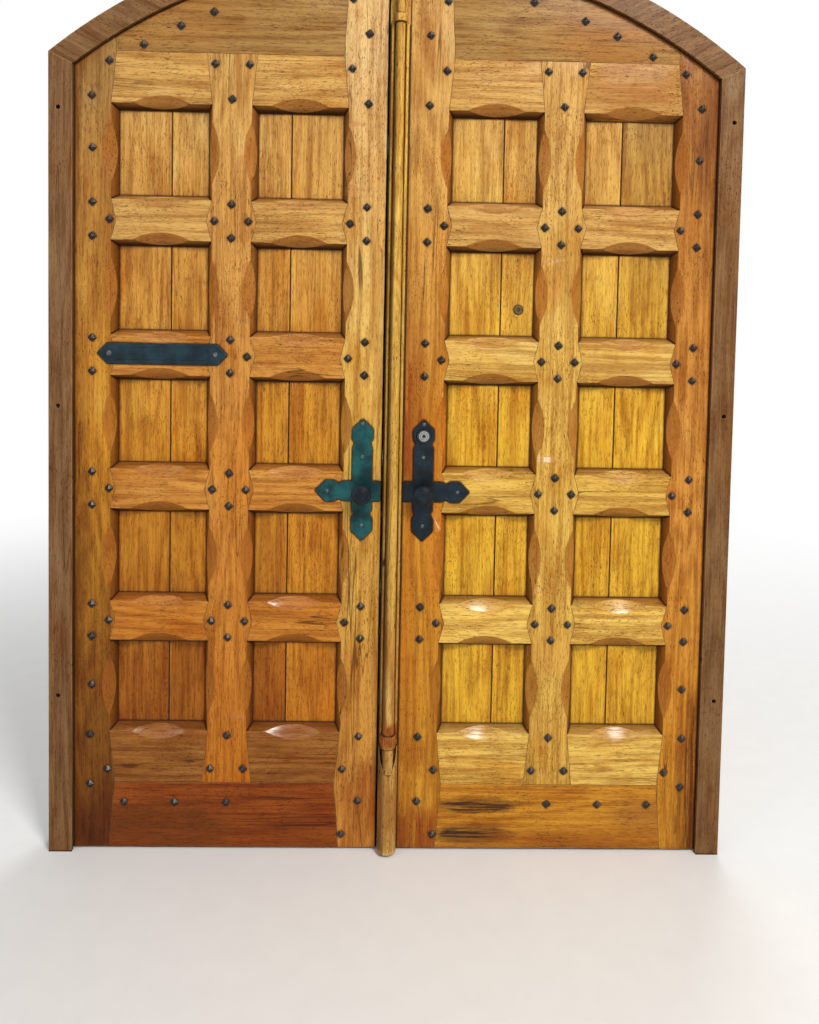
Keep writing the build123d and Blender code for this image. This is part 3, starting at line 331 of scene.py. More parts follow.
class Tone(Enum):
    """Varnished oak, from the palest to the darkest."""

    PALE = (0.66, 0.42, 0.165)
    HONEY = (0.58, 0.335, 0.092)
    STRAW = (0.80, 0.525, 0.115)
    GOLD = (0.69, 0.425, 0.080)
    YELLOW = (0.73, 0.415, 0.034)
    COPPER = (0.58, 0.25, 0.042)
    ORANGE = (0.54, 0.180, 0.014)
    TAN = (0.35, 0.195, 0.055)
    BROWN = (0.33, 0.130, 0.024)
    RUSSET = (0.28, 0.066, 0.007)
    CHAR = (0.050, 0.020, 0.008)
    UMBER = (0.115, 0.030, 0.004)
    AMBER = (0.58, 0.255, 0.022)
    OILED = (0.215, 0.112, 0.043)

    def dark(self) -> Colour:
        """The colour of the same oak's dense grain."""
        red, green, blue = self.value
        return (red * 0.52, green * 0.38, blue * 0.26)


@dataclass(frozen=True)
class Patch:
    """A worn or stained place, given by its centre and its half sizes in metres."""

    x: float
    z: float
    wide: float
    high: float
    strength: float = 1.0
    tone: Tone = Tone.RUSSET


@dataclass(frozen=True)
class Oak:
    """Old varnished oak, with its own board's figure; its tones run from the foot to the head."""

    name: str
    grain: Grain
    seed: float
    tones: tuple[Tone, Tone, Tone]
    flecks: float = 1.0
    worn: float = 0.5
    # How strongly faces that turn from the front are darkened: partly a bevel tint, partly painted shade.
    side_tint_and_shade: float = 0.75
    lean: float = 0.0
    patches: tuple[Patch, ...] = ()
    pocked: tuple[Patch, ...] = ()
    # Painted shade on faces that look to the left.
    left_side_shade: float = 0.0

    SPOTS = ((62.0, 0.045, 0.11, 0.80), (160.0, 0.17, 0.15, 0.34), (330.0, 0.42, 0.19, 0.18))

    def _along_the_grain(self, ink: Recipe, place: Wire) -> Wire:
        """Turns the piece's own place so that the third value runs with the grain."""
        parts = ink.add("ShaderNodeSeparateXYZ", values={0: place})
        across, depth, up = parts, parts.twin(1), parts.twin(2)
        turned, tilted = math.cos(math.radians(self.lean)), math.sin(math.radians(self.lean))
        if self.lean:
            across, up = across * turned - up * tilted, across * tilted + up * turned
        if self.grain is Grain.LEVEL:
            across, up = up, across
        return ink.join(across + self.seed * 0.37, depth + self.seed * 0.11, up + self.seed * 1.73)

    @staticmethod
    def _patch(place: Wire, patch: Patch, cloud: Wire) -> Wire:
        """A cloudy mask round one patch."""
        near = place.moved((-patch.x, 0.0, -patch.z)).times((1 / patch.wide, 0.0, 1 / patch.high))
        reach = near.dot(near) + (cloud - 0.5) * 1.3
        return reach.step(1.0, 0.15) * patch.strength

    def _scars(self, ink: Recipe, board: Wire, swayed: Wire, place: Wire, cloud: Wire) -> Wire:
        """Insect holes, short splits and long drying cracks, as one mask."""
        sides = ink.add("ShaderNodeSeparateXYZ", values={0: board})
        flat = ink.join(sides, sides.twin(2), 0.0)
        bent = ink.add("ShaderNodeSeparateXYZ", values={0: swayed})
        run = ink.join(bent, bent.twin(2), 0.0)
        crowd = ink.noise(board, scale=6.0, detail=2.0).step(0.42, 0.62)
        for patch in self.pocked:
            crowd = crowd.most(self._patch(place, patch, cloud))
        holes = None
        for scale, share, size, narrow in self.SPOTS:
            spots = ink.scatter(flat.times((1.0, narrow, 1.0)), scale)
            picked = ink.first_of(spots.twin(1))
            least = 1.0 - share * self.flecks
            one = spots.step(size, size * 0.45) * picked.step(least, least + 0.03) * (0.12 + crowd * 0.88)
            holes = one if holes is None else holes.most(one)
        dashes = ink.scatter(run.times((86.0, 13.0, 1.0)), 1.0)
        split = dashes.step(0.095, 0.055) * ink.first_of(dashes.twin(1)).step(0.74, 0.80) * (0.35 + crowd * 0.65)
        checks = (ink.noise(swayed.times((15.0, 15.0, 0.55)), detail=2.5) - 0.5).size()
        checks = checks.step(0.0046, 0.0014) * ink.noise(board, scale=2.3).step(0.48, 0.58)
        return holes.most(split * 0.9 * self.flecks).most(checks * self.worn)

    def make(self) -> bpy.types.Material:
        """The material."""
        ink = Recipe(self.name)
        place = ink.place()
        height = ink.add("ShaderNodeSeparateXYZ", values={0: place}, take=2)
        deep = height.twin(1).step(-0.024, -0.002)
        board = self._along_the_grain(ink, place)
        drift = ink.noise(board.times((2.4, 2.4, 0.8)), detail=2.0)
        swayed = board.moved(ink.join((drift - 0.5) * 0.035, 0.0, 0.0))
        cloud = ink.noise(place, scale=3.1, detail=5.0, rough=0.62)
        blotch = ink.noise(board.times((11.0, 11.0, 4.2)), detail=5.0, rough=0.62)
        mottle = ink.noise(board.times((34.0, 34.0, 15.0)), detail=3.0, rough=0.6)
        streak = ink.noise(swayed.times((105.0, 105.0, 3.4)), detail=4.0, rough=0.66)
        fibre = ink.noise(swayed.times((480.0, 480.0, 18.0)), detail=2.0, rough=0.6)
        figure = (ink.noise(swayed.times((5.5, 5.5, 0.62)), detail=2.0, bend=0.3) * 88.0).wave()
        speck = ink.noise(swayed.times((900.0, 900.0, 120.0)), detail=2.0, rough=0.7)
        pores = ink.noise(swayed.times((520.0, 520.0, 52.0)), detail=2.0).step(0.44, 0.31)
        light = figure * 0.15 + streak.step(0.26, 0.74) * 0.33 + fibre * 0.30 + speck * 0.22
        light = light.step(0.22, 0.72)

        foot, middle, head = self.tones
        level = height / 2.35 + (cloud - 0.5) * 0.30
        pale = ink.add("ShaderNodeValToRGB", {"stops": [(0.06, foot.value), (0.48, middle.value), (0.90, head.value)]}, {0: level})
        dark = ink.add("ShaderNodeValToRGB", {"stops": [(0.06, foot.dark()), (0.48, middle.dark()), (0.90, head.dark())]}, {0: level})
        wood = ink.mix(light, dark, pale)
        wood = ink.mix(blotch.step(0.48, 0.74), wood, (0.86, 0.68, 0.42), "MULTIPLY")
        wood = ink.mix(blotch.step(0.46, 0.26) * 0.7, wood, (1.10, 1.28, 1.60), "MULTIPLY")
        wood = ink.mix(mottle.step(0.52, 0.76), wood, (0.82, 0.72, 0.58), "MULTIPLY")
        turned = ink.add("ShaderNodeTexCoord", take=1)
        facing = turned.dot((0.0, -1.0, 0.0)).size()
        lift = turned.dot((0.0, 0.0, 1.0)).step(0.22, 0.55) * (1.0 if self.side_tint_and_shade > 0.5 else 0.0)
        # Faces that turn from the front get a darker bevel colour, partly a tint and partly painted shade; faces that
        # look up get less of it.
        sides = facing.step(0.995, 0.88) * self.side_tint_and_shade * (1.0 - lift * 0.6)
        wood = ink.mix(sides * (0.55 + 0.40 * streak), wood, (0.36, 0.115, 0.013))
        # Painted shade: steep faces darken to near black, more so deeper in the recess.
        steep_shade = facing.step(0.90, 0.50) * self.side_tint_and_shade * (1.0 - lift * 0.3)
        wood = ink.mix(steep_shade * (0.45 + 0.55 * deep), wood, (0.085, 0.024, 0.005))
        # Painted shade: faces that look down darken to near black, more so deeper in the recess.
        under = turned.dot((0.0, 0.0, -1.0)).step(0.40, 0.85) * self.side_tint_and_shade
        wood = ink.mix(under * (0.35 + 0.75 * deep), wood, (0.018, 0.006, 0.003))
        if self.left_side_shade:
            # Painted shade: faces that look to the left darken.
            left = turned.dot((-1.0, 0.0, 0.0)).step(0.15, 0.85) * self.left_side_shade
            wood = ink.mix(left * (0.7 + 0.5 * cloud), wood, (0.075, 0.026, 0.007))
        for patch in self.patches:
            mask = self._patch(place, patch, cloud + (streak - 0.5) * 1.5 + (mottle - 0.5) * 0.8)
            wood = ink.mix((mask * (0.25 + 1.1 * streak.step(0.40, 0.60))).least(1.0), wood, patch.tone.value)

        scars = self._scars(ink, board, swayed, place, cloud)
        wood = ink.mix(scars * 0.92, wood, (0.040, 0.012, 0.004))
        wood = ink.mix(pores * 0.62, wood, (0.34, 0.20, 0.12), "MULTIPLY")

        rounded, edge = ink.corners(0.0020)
        crease = ink.hollows(0.0060)
        hollow_shade = ink.hollows(0.030)
        # Dirt and painted shade: joints and creases that the narrow occlusion finds darken to near black.
        grime_and_shade = (crease * (0.85 + 0.5 * mottle)).step(0.05, 0.18)
        # Painted highlight, partly worn arrises: edges outside the creases turn pale along the streaks.
        wood = ink.mix(edge * (1.0 - grime_and_shade) * streak.step(0.25, 0.6) * 0.55, wood, (0.88, 0.62, 0.26))
        # Painted shade: wide hollows darken.
        wood = ink.mix((hollow_shade * (0.7 + 0.6 * cloud)).step(0.18, 0.80) * 0.60, wood, (0.17, 0.048, 0.008))
        wood = ink.mix(grime_and_shade * 0.90, wood, (0.038, 0.010, 0.004))

        tops = 1.0 - (1.0 - light) * 0.18 - pores * 0.35 - scars
        sheen = 0.40 + streak * 0.18 + scars * 0.35 + grime_and_shade * 0.25
        return ink.finish(
            {
                "Base Color": wood,
                "Roughness": sheen,
                "Normal": ink.relief(tops, 0.0012, rounded, 0.8),
                "Specular IOR Level": 0.11,
                "Coat Weight": 0.04 + lift * (0.12 + 0.75 * streak.step(0.38, 0.66)),
                "Coat Roughness": 0.22,
            }
        )


@dataclass(frozen=True)
class PaintedIron:
    """Iron under old paint, rubbed on its edges."""

    name: str
    paint: Colour
    second: Colour
    rubbed: Colour = (0.17, 0.18, 0.18)
    rough: float = 0.34
    radius: float = 0.0012
    lumps: float = 0.0004

    def make(self) -> bpy.types.Material:
        """The material."""
        ink = Recipe(self.name)
        place = ink.place()
        cloud = ink.noise(place, scale=22.0, detail=4.0, rough=0.6)
        lump = ink.noise(place, scale=95.0, detail=3.0, rough=0.55)
        brushed = ink.noise(place.times((260.0, 260.0, 18.0)), detail=2.0)
        rounded, edge = ink.corners(self.radius)
        hollow_shade = ink.hollows(0.010)
        paint = ink.mix(cloud.step(0.36, 0.66), self.paint, self.second)
        paint = ink.mix(edge * lump.step(0.34, 0.54) * 0.9, paint, self.rubbed)
        chips = ink.noise(place, scale=170.0, detail=2.0).step(0.70, 0.74) * cloud.step(0.45, 0.6)
        paint = ink.mix(chips * 0.7, paint, (0.13, 0.055, 0.025))
        # Painted shade: hollows of the plate darken to near black.
        paint = ink.mix((hollow_shade * 1.1).step(0.45, 1.0) * 0.8, paint, (0.012, 0.010, 0.009))
        return ink.finish(
            {
                "Base Color": paint,
                "Roughness": self.rough + (lump - 0.5) * 0.22 + chips * 0.3 - edge * 0.06,
                "Metallic": edge * lump.step(0.45, 0.6) * 0.35,
                "Normal": ink.relief(lump * 0.8 + brushed * 0.2 - chips * 0.3, self.lumps, rounded),
                "Specular IOR Level": 0.14,
            }
        )


@dataclass(frozen=True)
class ForgedIron:
    """Hammered iron, blackened, with painted highlights on the facets that face up and on its edges, which are partly
    rubbed bright.
    """

    name: str
    black: Colour = (0.012, 0.011, 0.013)
    bright: Colour = (0.26, 0.25, 0.25)

    def make(self) -> bpy.types.Material:
        """The material."""
        ink = Recipe(self.name)
        place = ink.place()
        cloud = ink.noise(place, scale=60.0, detail=3.0)
        scale = ink.noise(place, scale=420.0, detail=3.0, rough=0.6)
        rounded, edge = ink.corners(0.0008)
        iron = ink.mix(scale.step(0.35, 0.75), self.black, (0.030, 0.027, 0.029))
        iron = ink.mix(cloud.step(0.60, 0.75) * scale.step(0.4, 0.6) * 0.5, iron, (0.11, 0.042, 0.018))
        # Painted highlight on the facets that face up towards the lamps.
        upper = ink.add("ShaderNodeTexCoord", take=1).dot((0.22, -0.62, 0.75)).step(0.88, 0.97)
        iron = ink.mix(upper * cloud.step(0.28, 0.50) * 0.30, iron, self.bright)
        # Painted highlight on the edges, partly rubbed bright.
        iron = ink.mix(edge * 0.75, iron, self.bright)
        return ink.finish(
            {
                "Base Color": iron,
                "Roughness": 0.24 + scale * 0.20,
                "Metallic": 0.20 + edge * 0.5,
                "Normal": ink.relief(scale, 0.0003, rounded),
                "Specular IOR Level": 0.20,
            }
        )


@dataclass(frozen=True)
class TurnedMetal:
    """Bare metal with fine turning marks round an axis that points at the viewer."""

    name: str
    colour: Colour
    dull: Colour
    centre: tuple[float, float]
    rough: float = 0.26
    rings: tuple[tuple[float, float, Colour], ...] = ()

    def make(self) -> bpy.types.Material:
        """The material."""
        ink = Recipe(self.name)
        place = ink.place()
        flat = place.moved((-self.centre[0], 0.0, -self.centre[1])).times((1.0, 0.0, 1.0))
        reach = flat.dot(flat) ** 0.5
        rings = ink.noise(ink.join(reach * 2600.0, 0.0, 0.0), detail=2.0)
        cloud = ink.noise(place, scale=130.0, detail=3.0)
        rounded, edge = ink.corners(0.0005)
        hollow_shade = ink.hollows(0.006)
        metal = ink.mix(cloud.step(0.4, 0.75) * 0.6, self.colour, self.dull)
        for inner, outer, tint in self.rings:
            band = reach.step(inner - 0.0004, inner) * reach.step(outer + 0.0004, outer)
            metal = ink.mix(band * 0.93, metal, tint)
        # Painted shade: hollows darken to near black.
        metal = ink.mix((hollow_shade * 1.15).step(0.45, 1.0) * 0.9, metal, (0.02, 0.018, 0.016))
        return ink.finish(
            {
                "Base Color": metal,
                "Roughness": self.rough + rings * 0.14 + cloud * 0.08 - edge * 0.05,
                "Metallic": 1.0,
                "Normal": ink.relief(rings * 0.5 + cloud * 0.5, 0.00006, rounded),
            }
        )


@dataclass(frozen=True)
class LensGlass:
    """The small domed glass of the viewer."""

    name: str

    def make(self) -> bpy.types.Material:
        """The material."""
        ink = Recipe(self.name)
        smear = ink.noise(ink.place(), scale=260.0, detail=3.0)
        return ink.finish(
            {
                "Base Color": ink.mix(smear, (0.02, 0.022, 0.028), (0.05, 0.05, 0.06)),
                "Roughness": 0.04 + smear * 0.10,
                "Coat Weight": 0.6,
                "Coat Roughness": 0.05,
            }
        )


@dataclass(frozen=True)
class Bristle:
    """The black hairs of a brush seal."""

    name: str

    def make(self) -> bpy.types.Material:
        """The material."""
        ink = Recipe(self.name)
        hairs = ink.noise(ink.place().times((900.0, 60.0, 900.0)), detail=2.0)
        return ink.finish(
            {
                "Base Color": ink.mix(hairs, (0.008, 0.006, 0.005), (0.028, 0.020, 0.016)),
                "Roughness": 0.8 + hairs * 0.15,
                "Normal": ink.relief(hairs, 0.0004, ink.add("ShaderNodeNewGeometry", take=1)),
                "Specular IOR Level": 0.1,
            }
        )


class Finishes:
    """Every material, made once and kept by its name."""

    def __init__(self) -> None:
        """Starts with none."""
        self.made: dict[str, bpy.types.Material] = {}

    def get(self, finish: Oak | PaintedIron | ForgedIron | TurnedMetal | LensGlass | Bristle) -> bpy.types.Material:
        """The material of a finish, made the first time that it is asked for."""
        if finish.name not in self.made:
            self.made[finish.name] = finish.make()
        return self.made[finish.name]


# ---------------------------------------------------------------- helpers for pieces


def dress(node: str, material: bpy.types.Material) -> None:
    """Gives a CAD node its material.

    Args:
        node: the node's name.
        material: what every slot of it gets.
    """
    mesh = frame["nodes"][node].data
    if not mesh.materials:
        mesh.materials.append(material)
    for index in range(len(mesh.materials)):
        mesh.materials[index] = material


def lumps_of(node: str) -> list[tuple[Vector, Vector]]:
    """Finds the separate solids of a CAD node.

    Args:
        node: the node's name.

    Returns:
        The lowest and highest corner of each, from the bottom up.
    """
    merged = bmesh.new()
    merged.from_mesh(frame["nodes"][node].data)
    bmesh.ops.remove_doubles(merged, verts=merged.verts, dist=1e-5)
    seen: set[int] = set()
    found: list[tuple[Vector, Vector]] = []
    for start in merged.verts:
        if start.index in seen:
            continue
        seen.add(start.index)
        waiting, corners = [start], []
        while waiting:
            vertex = waiting.pop()
            corners.append(vertex.co.copy())
            for edge in vertex.link_edges:
                other = edge.other_vert(vertex)
                if other.index not in seen:
                    seen.add(other.index)
                    waiting.append(other)
        low = Vector(min(c[i] for c in corners) for i in range(3))
        high = Vector(max(c[i] for c in corners) for i in range(3))
        found.append((low, high))
    merged.free()
    return sorted(found, key=lambda pair: (round(pair[0].z, 4), round(pair[0].x, 4)))


def new_piece(name: str, mesh: bpy.types.Mesh) -> bpy.types.Object:
    """Puts a mesh in the scene under a name."""
    piece = bpy.data.objects.new(name, mesh)
    bpy.context.scene.collection.objects.link(piece)
    return piece


def settle(piece: bpy.types.Object) -> None:
    """Turns what the modifiers give into the piece's own mesh."""
    depsgraph = bpy.context.evaluated_depsgraph_get()
    mesh = bpy.data.meshes.new_from_object(piece.evaluated_get(depsgraph), depsgraph=depsgraph)
    piece.modifiers.clear()
    piece.data = mesh


class Repeater:
    """Geometry Nodes that set one forged shape on many points, each a little different."""

    INPUTS = (
        ("Shape", "NodeSocketObject"),
        ("Twist", "NodeSocketFloat"),
        ("Smallest", "NodeSocketFloat"),
        ("Dent", "NodeSocketFloat"),
        ("Seed", "NodeSocketInt"),
        ("Finish", "NodeSocketMaterial"),
    )

    def __init__(self) -> None:
        """Builds the tree."""
        self.tree = bpy.data.node_groups.new("forged_repeats", "GeometryNodeTree")
        face = self.tree.interface
        face.new_socket("Geometry", in_out="INPUT", socket_type="NodeSocketGeometry")
        self.keys: dict[str, str] = {}
        for name, kind in self.INPUTS:
            socket = face.new_socket(name, in_out="INPUT", socket_type=kind)
            self.keys[name] = socket.identifier
        face.new_socket("Geometry", in_out="OUTPUT", socket_type="NodeSocketGeometry")
        self._wire_up()

    def _node(self, kind: str, settings: dict | None = None, links: dict | None = None) -> bpy.types.Node:
        """Adds one node.

        Args:
            kind: its type.
            settings: properties, set first.
            links: constants or output sockets for its inputs.

        Returns:
            The node.
        """
        node = self.tree.nodes.new(kind)
        for key, value in (settings or {}).items():
            setattr(node, key, value)
        for key, value in (links or {}).items():
            if isinstance(value, bpy.types.NodeSocket):
                self.tree.links.new(value, node.inputs[key])
            else:
                node.inputs[key].default_value = value
        return node

    def _wire_up(self) -> None:
        """Links points, shape, small differences and finish."""
        given = self._node("NodeGroupInput").outputs
        shape = self._node("GeometryNodeObjectInfo", links={"Object": given["Shape"]})
        least = self._node("ShaderNodeMath", {"operation": "MULTIPLY"}, {0: given["Twist"], 1: -1.0})
        turn = self._node("FunctionNodeRandomValue", {"data_type": "FLOAT"})
        self.tree.links.new(least.outputs[0], turn.inputs[2])
        self.tree.links.new(given["Twist"], turn.inputs[3])
        self.tree.links.new(given["Seed"], turn.inputs["Seed"])
        spin = self._node("ShaderNodeCombineXYZ", links={1: turn.outputs[1]})
        grow = self._node("FunctionNodeRandomValue", {"data_type": "FLOAT"})
        self.tree.links.new(given["Smallest"], grow.inputs[2])
        grow.inputs[3].default_value = 1.0
        self.tree.links.new(given["Seed"], grow.inputs["Seed"])
        placed = self._node(
            "GeometryNodeInstanceOnPoints",
            links={
                "Points": given["Geometry"],
                "Instance": shape.outputs["Geometry"],
                "Rotation": spin.outputs[0],
                "Scale": grow.outputs[1],
            },
        )
        real = self._node("GeometryNodeRealizeInstances", links={0: placed.outputs[0]})
        cloud = self._node("ShaderNodeTexNoise", links={"Scale": 170.0, "Detail": 1.0})
        centred = self._node("ShaderNodeVectorMath", {"operation": "SUBTRACT"}, {0: cloud.outputs["Color"], 1: (0.5, 0.5, 0.5)})
        dented = self._node("ShaderNodeVectorMath", {"operation": "SCALE"}, {0: centred.outputs[0], "Scale": given["Dent"]})
        moved = self._node("GeometryNodeSetPosition", links={"Geometry": real.outputs[0], "Offset": dented.outputs[0]})
        coated = self._node("GeometryNodeSetMaterial", links={"Geometry": moved.outputs[0], "Material": given["Finish"]})
        self._node("NodeGroupOutput", links={0: coated.outputs[0]})

    def spread(
        self,
        name: str,
        points: list[Vector],
        shape: bpy.types.Object,
        finish: bpy.types.Material,
        twist: float,
        smallest: float,
        dent: float,
        seed: int,
    ) -> bpy.types.Object:
        """Makes one piece of many repeats.

        Args:
            name: the piece's name.
            points: where each repeat sits.
            shape: the shape, made at the origin; it is left in place for the next use.
            finish: its material.
            twist: the most that one is turned, in radians.
            smallest: the least size of one, against 1.
            dent: how far the hammer moved a corner, in metres.
            seed: the random seed.

        Returns:
            The piece, as a plain mesh.
        """
        mesh = bpy.data.meshes.new(name)
        mesh.from_pydata([tuple(p) for p in points], [], [])
        piece = new_piece(name, mesh)
        modifier = piece.modifiers.new("repeats", "NODES")
        modifier.node_group = self.tree
        given = {"Shape": shape, "Twist": twist, "Smallest": smallest, "Dent": dent, "Seed": seed}
        for key, value in {**given, "Finish": finish}.items():
            modifier[self.keys[key]] = value
        settle(piece)
        return piece


# ---------------------------------------------------------------- sub-assemblies


@dataclass
class Lattice:
    """The bevelled and scooped oak members of one leaf, and the boards behind them."""

    side: str
    finishes: Finishes
    seed: float
    tones: dict[str, tuple[Tone, Tone, Tone]]
    patches: dict[str, tuple[Patch, ...]] = field(default_factory=dict)
    pocked: dict[str, tuple[Patch, ...]] = field(default_factory=dict)
    arris: float = 0.0016
    wander: float = 0.0009
    stride: float = 0.026
    bevel_fall: float = 0.0135
    chip_span: tuple[float, float] = (0.029, 0.046)
    bays: tuple[tuple[float, float], ...] = ((0.132, 0.386), (0.490, 0.754))
    narrow: float = 0.72
    uprights: tuple[str, ...] = ("meeting_stile", "outer_stile", "muntin")
    levels: tuple[str, ...] = (
        "bottom_rail", "lower_rail", "rail_1", "rail_2", "rail_3", "rail_4", "upper_rail", "arch_rail",
    )
    boards: tuple[str, ...] = ("board_inner", "board_middle", "board_outer")

    def _outline(self, shape: bmesh.types.BMesh, front: float) -> list[bmesh.types.BMEdge]:
        """The edges round the front faces.

        Args:
            shape: the merged member.
            front: the depth of its front faces.

        Returns:
            Edges with one front face and one other.
        """

        def is_front(face: bmesh.types.BMFace) -> bool:
            """True on the flat front of the member."""
            return face.normal.y < -0.9995 and abs(face.calc_center_median().y - front) < 1e-4

        pairs = ((edge, [is_front(face) for face in edge.link_faces]) for edge in shape.edges)
        return [edge for edge, fronts in pairs if len(fronts) == 2 and fronts[0] != fronts[1]]

    def _easy(self, edges: list[bmesh.types.BMEdge]) -> list[bmesh.types.BMEdge]:
        """Leaves out the edges from which another arris runs off at a narrow angle.

        Args:
            edges: the outline of the front faces.

        Returns:
            The edges that a plane would ease without slipping.
        """
        outline = set(edges)

        def runs_free(edge: bmesh.types.BMEdge) -> bool:
            """True where no third edge lies close beside this one."""
            for corner in edge.verts:
                along = (edge.other_vert(corner).co - corner.co).normalized()
                for other in corner.link_edges:
                    if other not in outline:
                        away = (other.other_vert(corner).co - corner.co).normalized()
                        if away.dot(along) > self.narrow:
                            return False
            return True

        return [edge for edge in edges if runs_free(edge)]

    def _mend_chips(self, shape: bmesh.types.BMesh, node: str, front: float) -> None:
        """Closes the small nicks that the scoop cutter leaves beside each scoop of a rail.

        Args:
            shape: the merged rail.
            node: the rail's node, for its size.
            front: the depth of its front face.
        """
        low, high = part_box(node)
        nearest, farthest = self.chip_span
        for edge_z in (low.z + self.bevel_fall, high.z - self.bevel_fall):
            for start, end in self.bays:
                for corner, inward in ((start, 1.0), (end, -1.0)):
                    chip = [
                        vertex for vertex in shape.verts
                        if nearest < (abs(vertex.co.x) - corner) * inward < farthest
                        and abs(vertex.co.z - edge_z) < 0.009 and vertex.co.y < front + 0.009
                    ]
                    line = [vertex.co.x for vertex in chip if abs(vertex.co.z - edge_z) < 1e-4]
                    if len(chip) > len(line) > 0:
                        centre = (sum(line) / len(line), front, edge_z)
                        bmesh.ops.pointmerge(shape, verts=chip, merge_co=centre)

    def _ease(self, part: str, material: bpy.types.Material) -> bpy.types.Object:
        """Rebuilds one member with worn arrises that wander a little, as hand work does.

        Args:
            part: the member's name on its leaf.
            material: its oak.

        Returns:
            The piece that stands for the member.
        """
        node = f"{self.side}_{part}"
        shape = bmesh.new()
        shape.from_mesh(frame["nodes"][node].data)
        bmesh.ops.remove_doubles(shape, verts=shape.verts, dist=3e-5)
        bmesh.ops.dissolve_limit(shape, angle_limit=math.radians(0.6), verts=shape.verts, edges=shape.edges)
        front = min(vertex.co.y for vertex in shape.verts)
        bmesh.ops.triangulate(shape, faces=shape.faces)
        if part in self.levels:
            self._mend_chips(shape, node, front)
        bmesh.ops.dissolve_degenerate(shape, dist=1e-5, edges=shape.edges)
        bmesh.ops.dissolve_limit(shape, angle_limit=math.radians(0.6), verts=shape.verts, edges=shape.edges)
        for edge in self._outline(shape, front):
            cuts = int(edge.calc_length() / self.stride)
            if cuts:
                bmesh.ops.subdivide_edges(shape, edges=[edge], cuts=cuts)
        edges = self._outline(shape, front)
        for vertex in {vertex for edge in edges for vertex in edge.verts}:
            cloud = noise.noise_vector(vertex.co * 21.0 + Vector((self.seed, 0.0, 0.0)))
            vertex.co += Vector((cloud.x, 0.0, cloud.z)) * self.wander
        bmesh.ops.bevel(shape, geom=self._easy(edges), offset=self.arris, segments=2, profile=0.6, affect="EDGES")
        mesh = bpy.data.meshes.new(f"{node}_oak")
        bmesh.ops.triangulate(shape, faces=[face for face in shape.faces if len(face.verts) > 4])
        shape.to_mesh(mesh)
        shape.free()
        mesh.shade_smooth()
        mesh.set_sharp_from_angle(angle=math.radians(26))
        mesh.materials.append(material)
        piece = new_piece(f"{node}_oak", mesh)
        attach(piece, f"{self.side}_leaf")
        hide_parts(node)
        return piece

    def build(self) -> int:
        """Gives every member and board its own cut of oak.

        Returns:
            How many pieces were dressed.
        """
        members = [*self.uprights, *self.levels, *self.boards]
        for number, part in enumerate(members):
            is_board = part in self.boards
            oak = Oak(
                name=f"{self.side}_{part}_oak",
                grain=Grain.LEVEL if part in self.levels else Grain.UPRIGHT,
                seed=self.seed + number * 2.31,
                tones=self.tones[part],
                flecks=0.8 if is_board else 1.0,
                worn=0.35 if is_board else 0.75,
                side_tint_and_shade=0.35 if is_board else 0.85,
                patches=self.patches.get(part, ()),
                pocked=self.pocked.get(part, ()),
            )
            if is_board:
                dress(f"{self.side}_{part}", self.finishes.get(oak))
            else:
                self._ease(part, self.finishes.get(oak))
        return len(members)


@dataclass
class MeetingSeal:
    """One of the two dark brush seals in the joint under the column, each on its own leaf; their black also stands in
    for the shade deep in that gap.
    """

    finishes: Finishes
    side: str
    edge: float
    tip: float
    front: float
    back: float
    rows: int = 60

    def build(self) -> bpy.types.Object:
        """Runs the seal up the leaf's edge to the arch.

        Returns:
            The seal.
        """
        low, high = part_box("left_meeting_stile")
        shape = bmesh.new()
        rings = []
        for row in range(self.rows + 1):
            z = low.z + (high.z - 0.012 - low.z) * row / self.rows
            ripple = abs(noise.noise(Vector((0.0, 0.0, z * 31.0)))) * 0.0004
            tip = self.tip + ripple * math.copysign(1.0, self.edge - self.tip)
            corners = ((self.edge, self.front), (tip, self.front + 0.001), (tip, self.back), (self.edge, self.back))
            rings.append([shape.verts.new((x, y, z)) for x, y in corners])
        for under, over in zip(rings, rings[1:]):
            for side in range(4):
                after = (side + 1) % 4
                shape.faces.new((under[side], under[after], over[after], over[side]))
        shape.faces.new(rings[0])
        shape.faces.new(list(reversed(rings[-1])))
        bmesh.ops.recalc_face_normals(shape, faces=shape.faces)
        mesh = bpy.data.meshes.new(f"{self.side}_seal")
        shape.to_mesh(mesh)
        shape.free()
        mesh.materials.append(self.finishes.get(Bristle("black_bristle")))
        piece = new_piece(f"{self.side}_seal", mesh)
        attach(piece, f"{self.side}_leaf")
        return piece


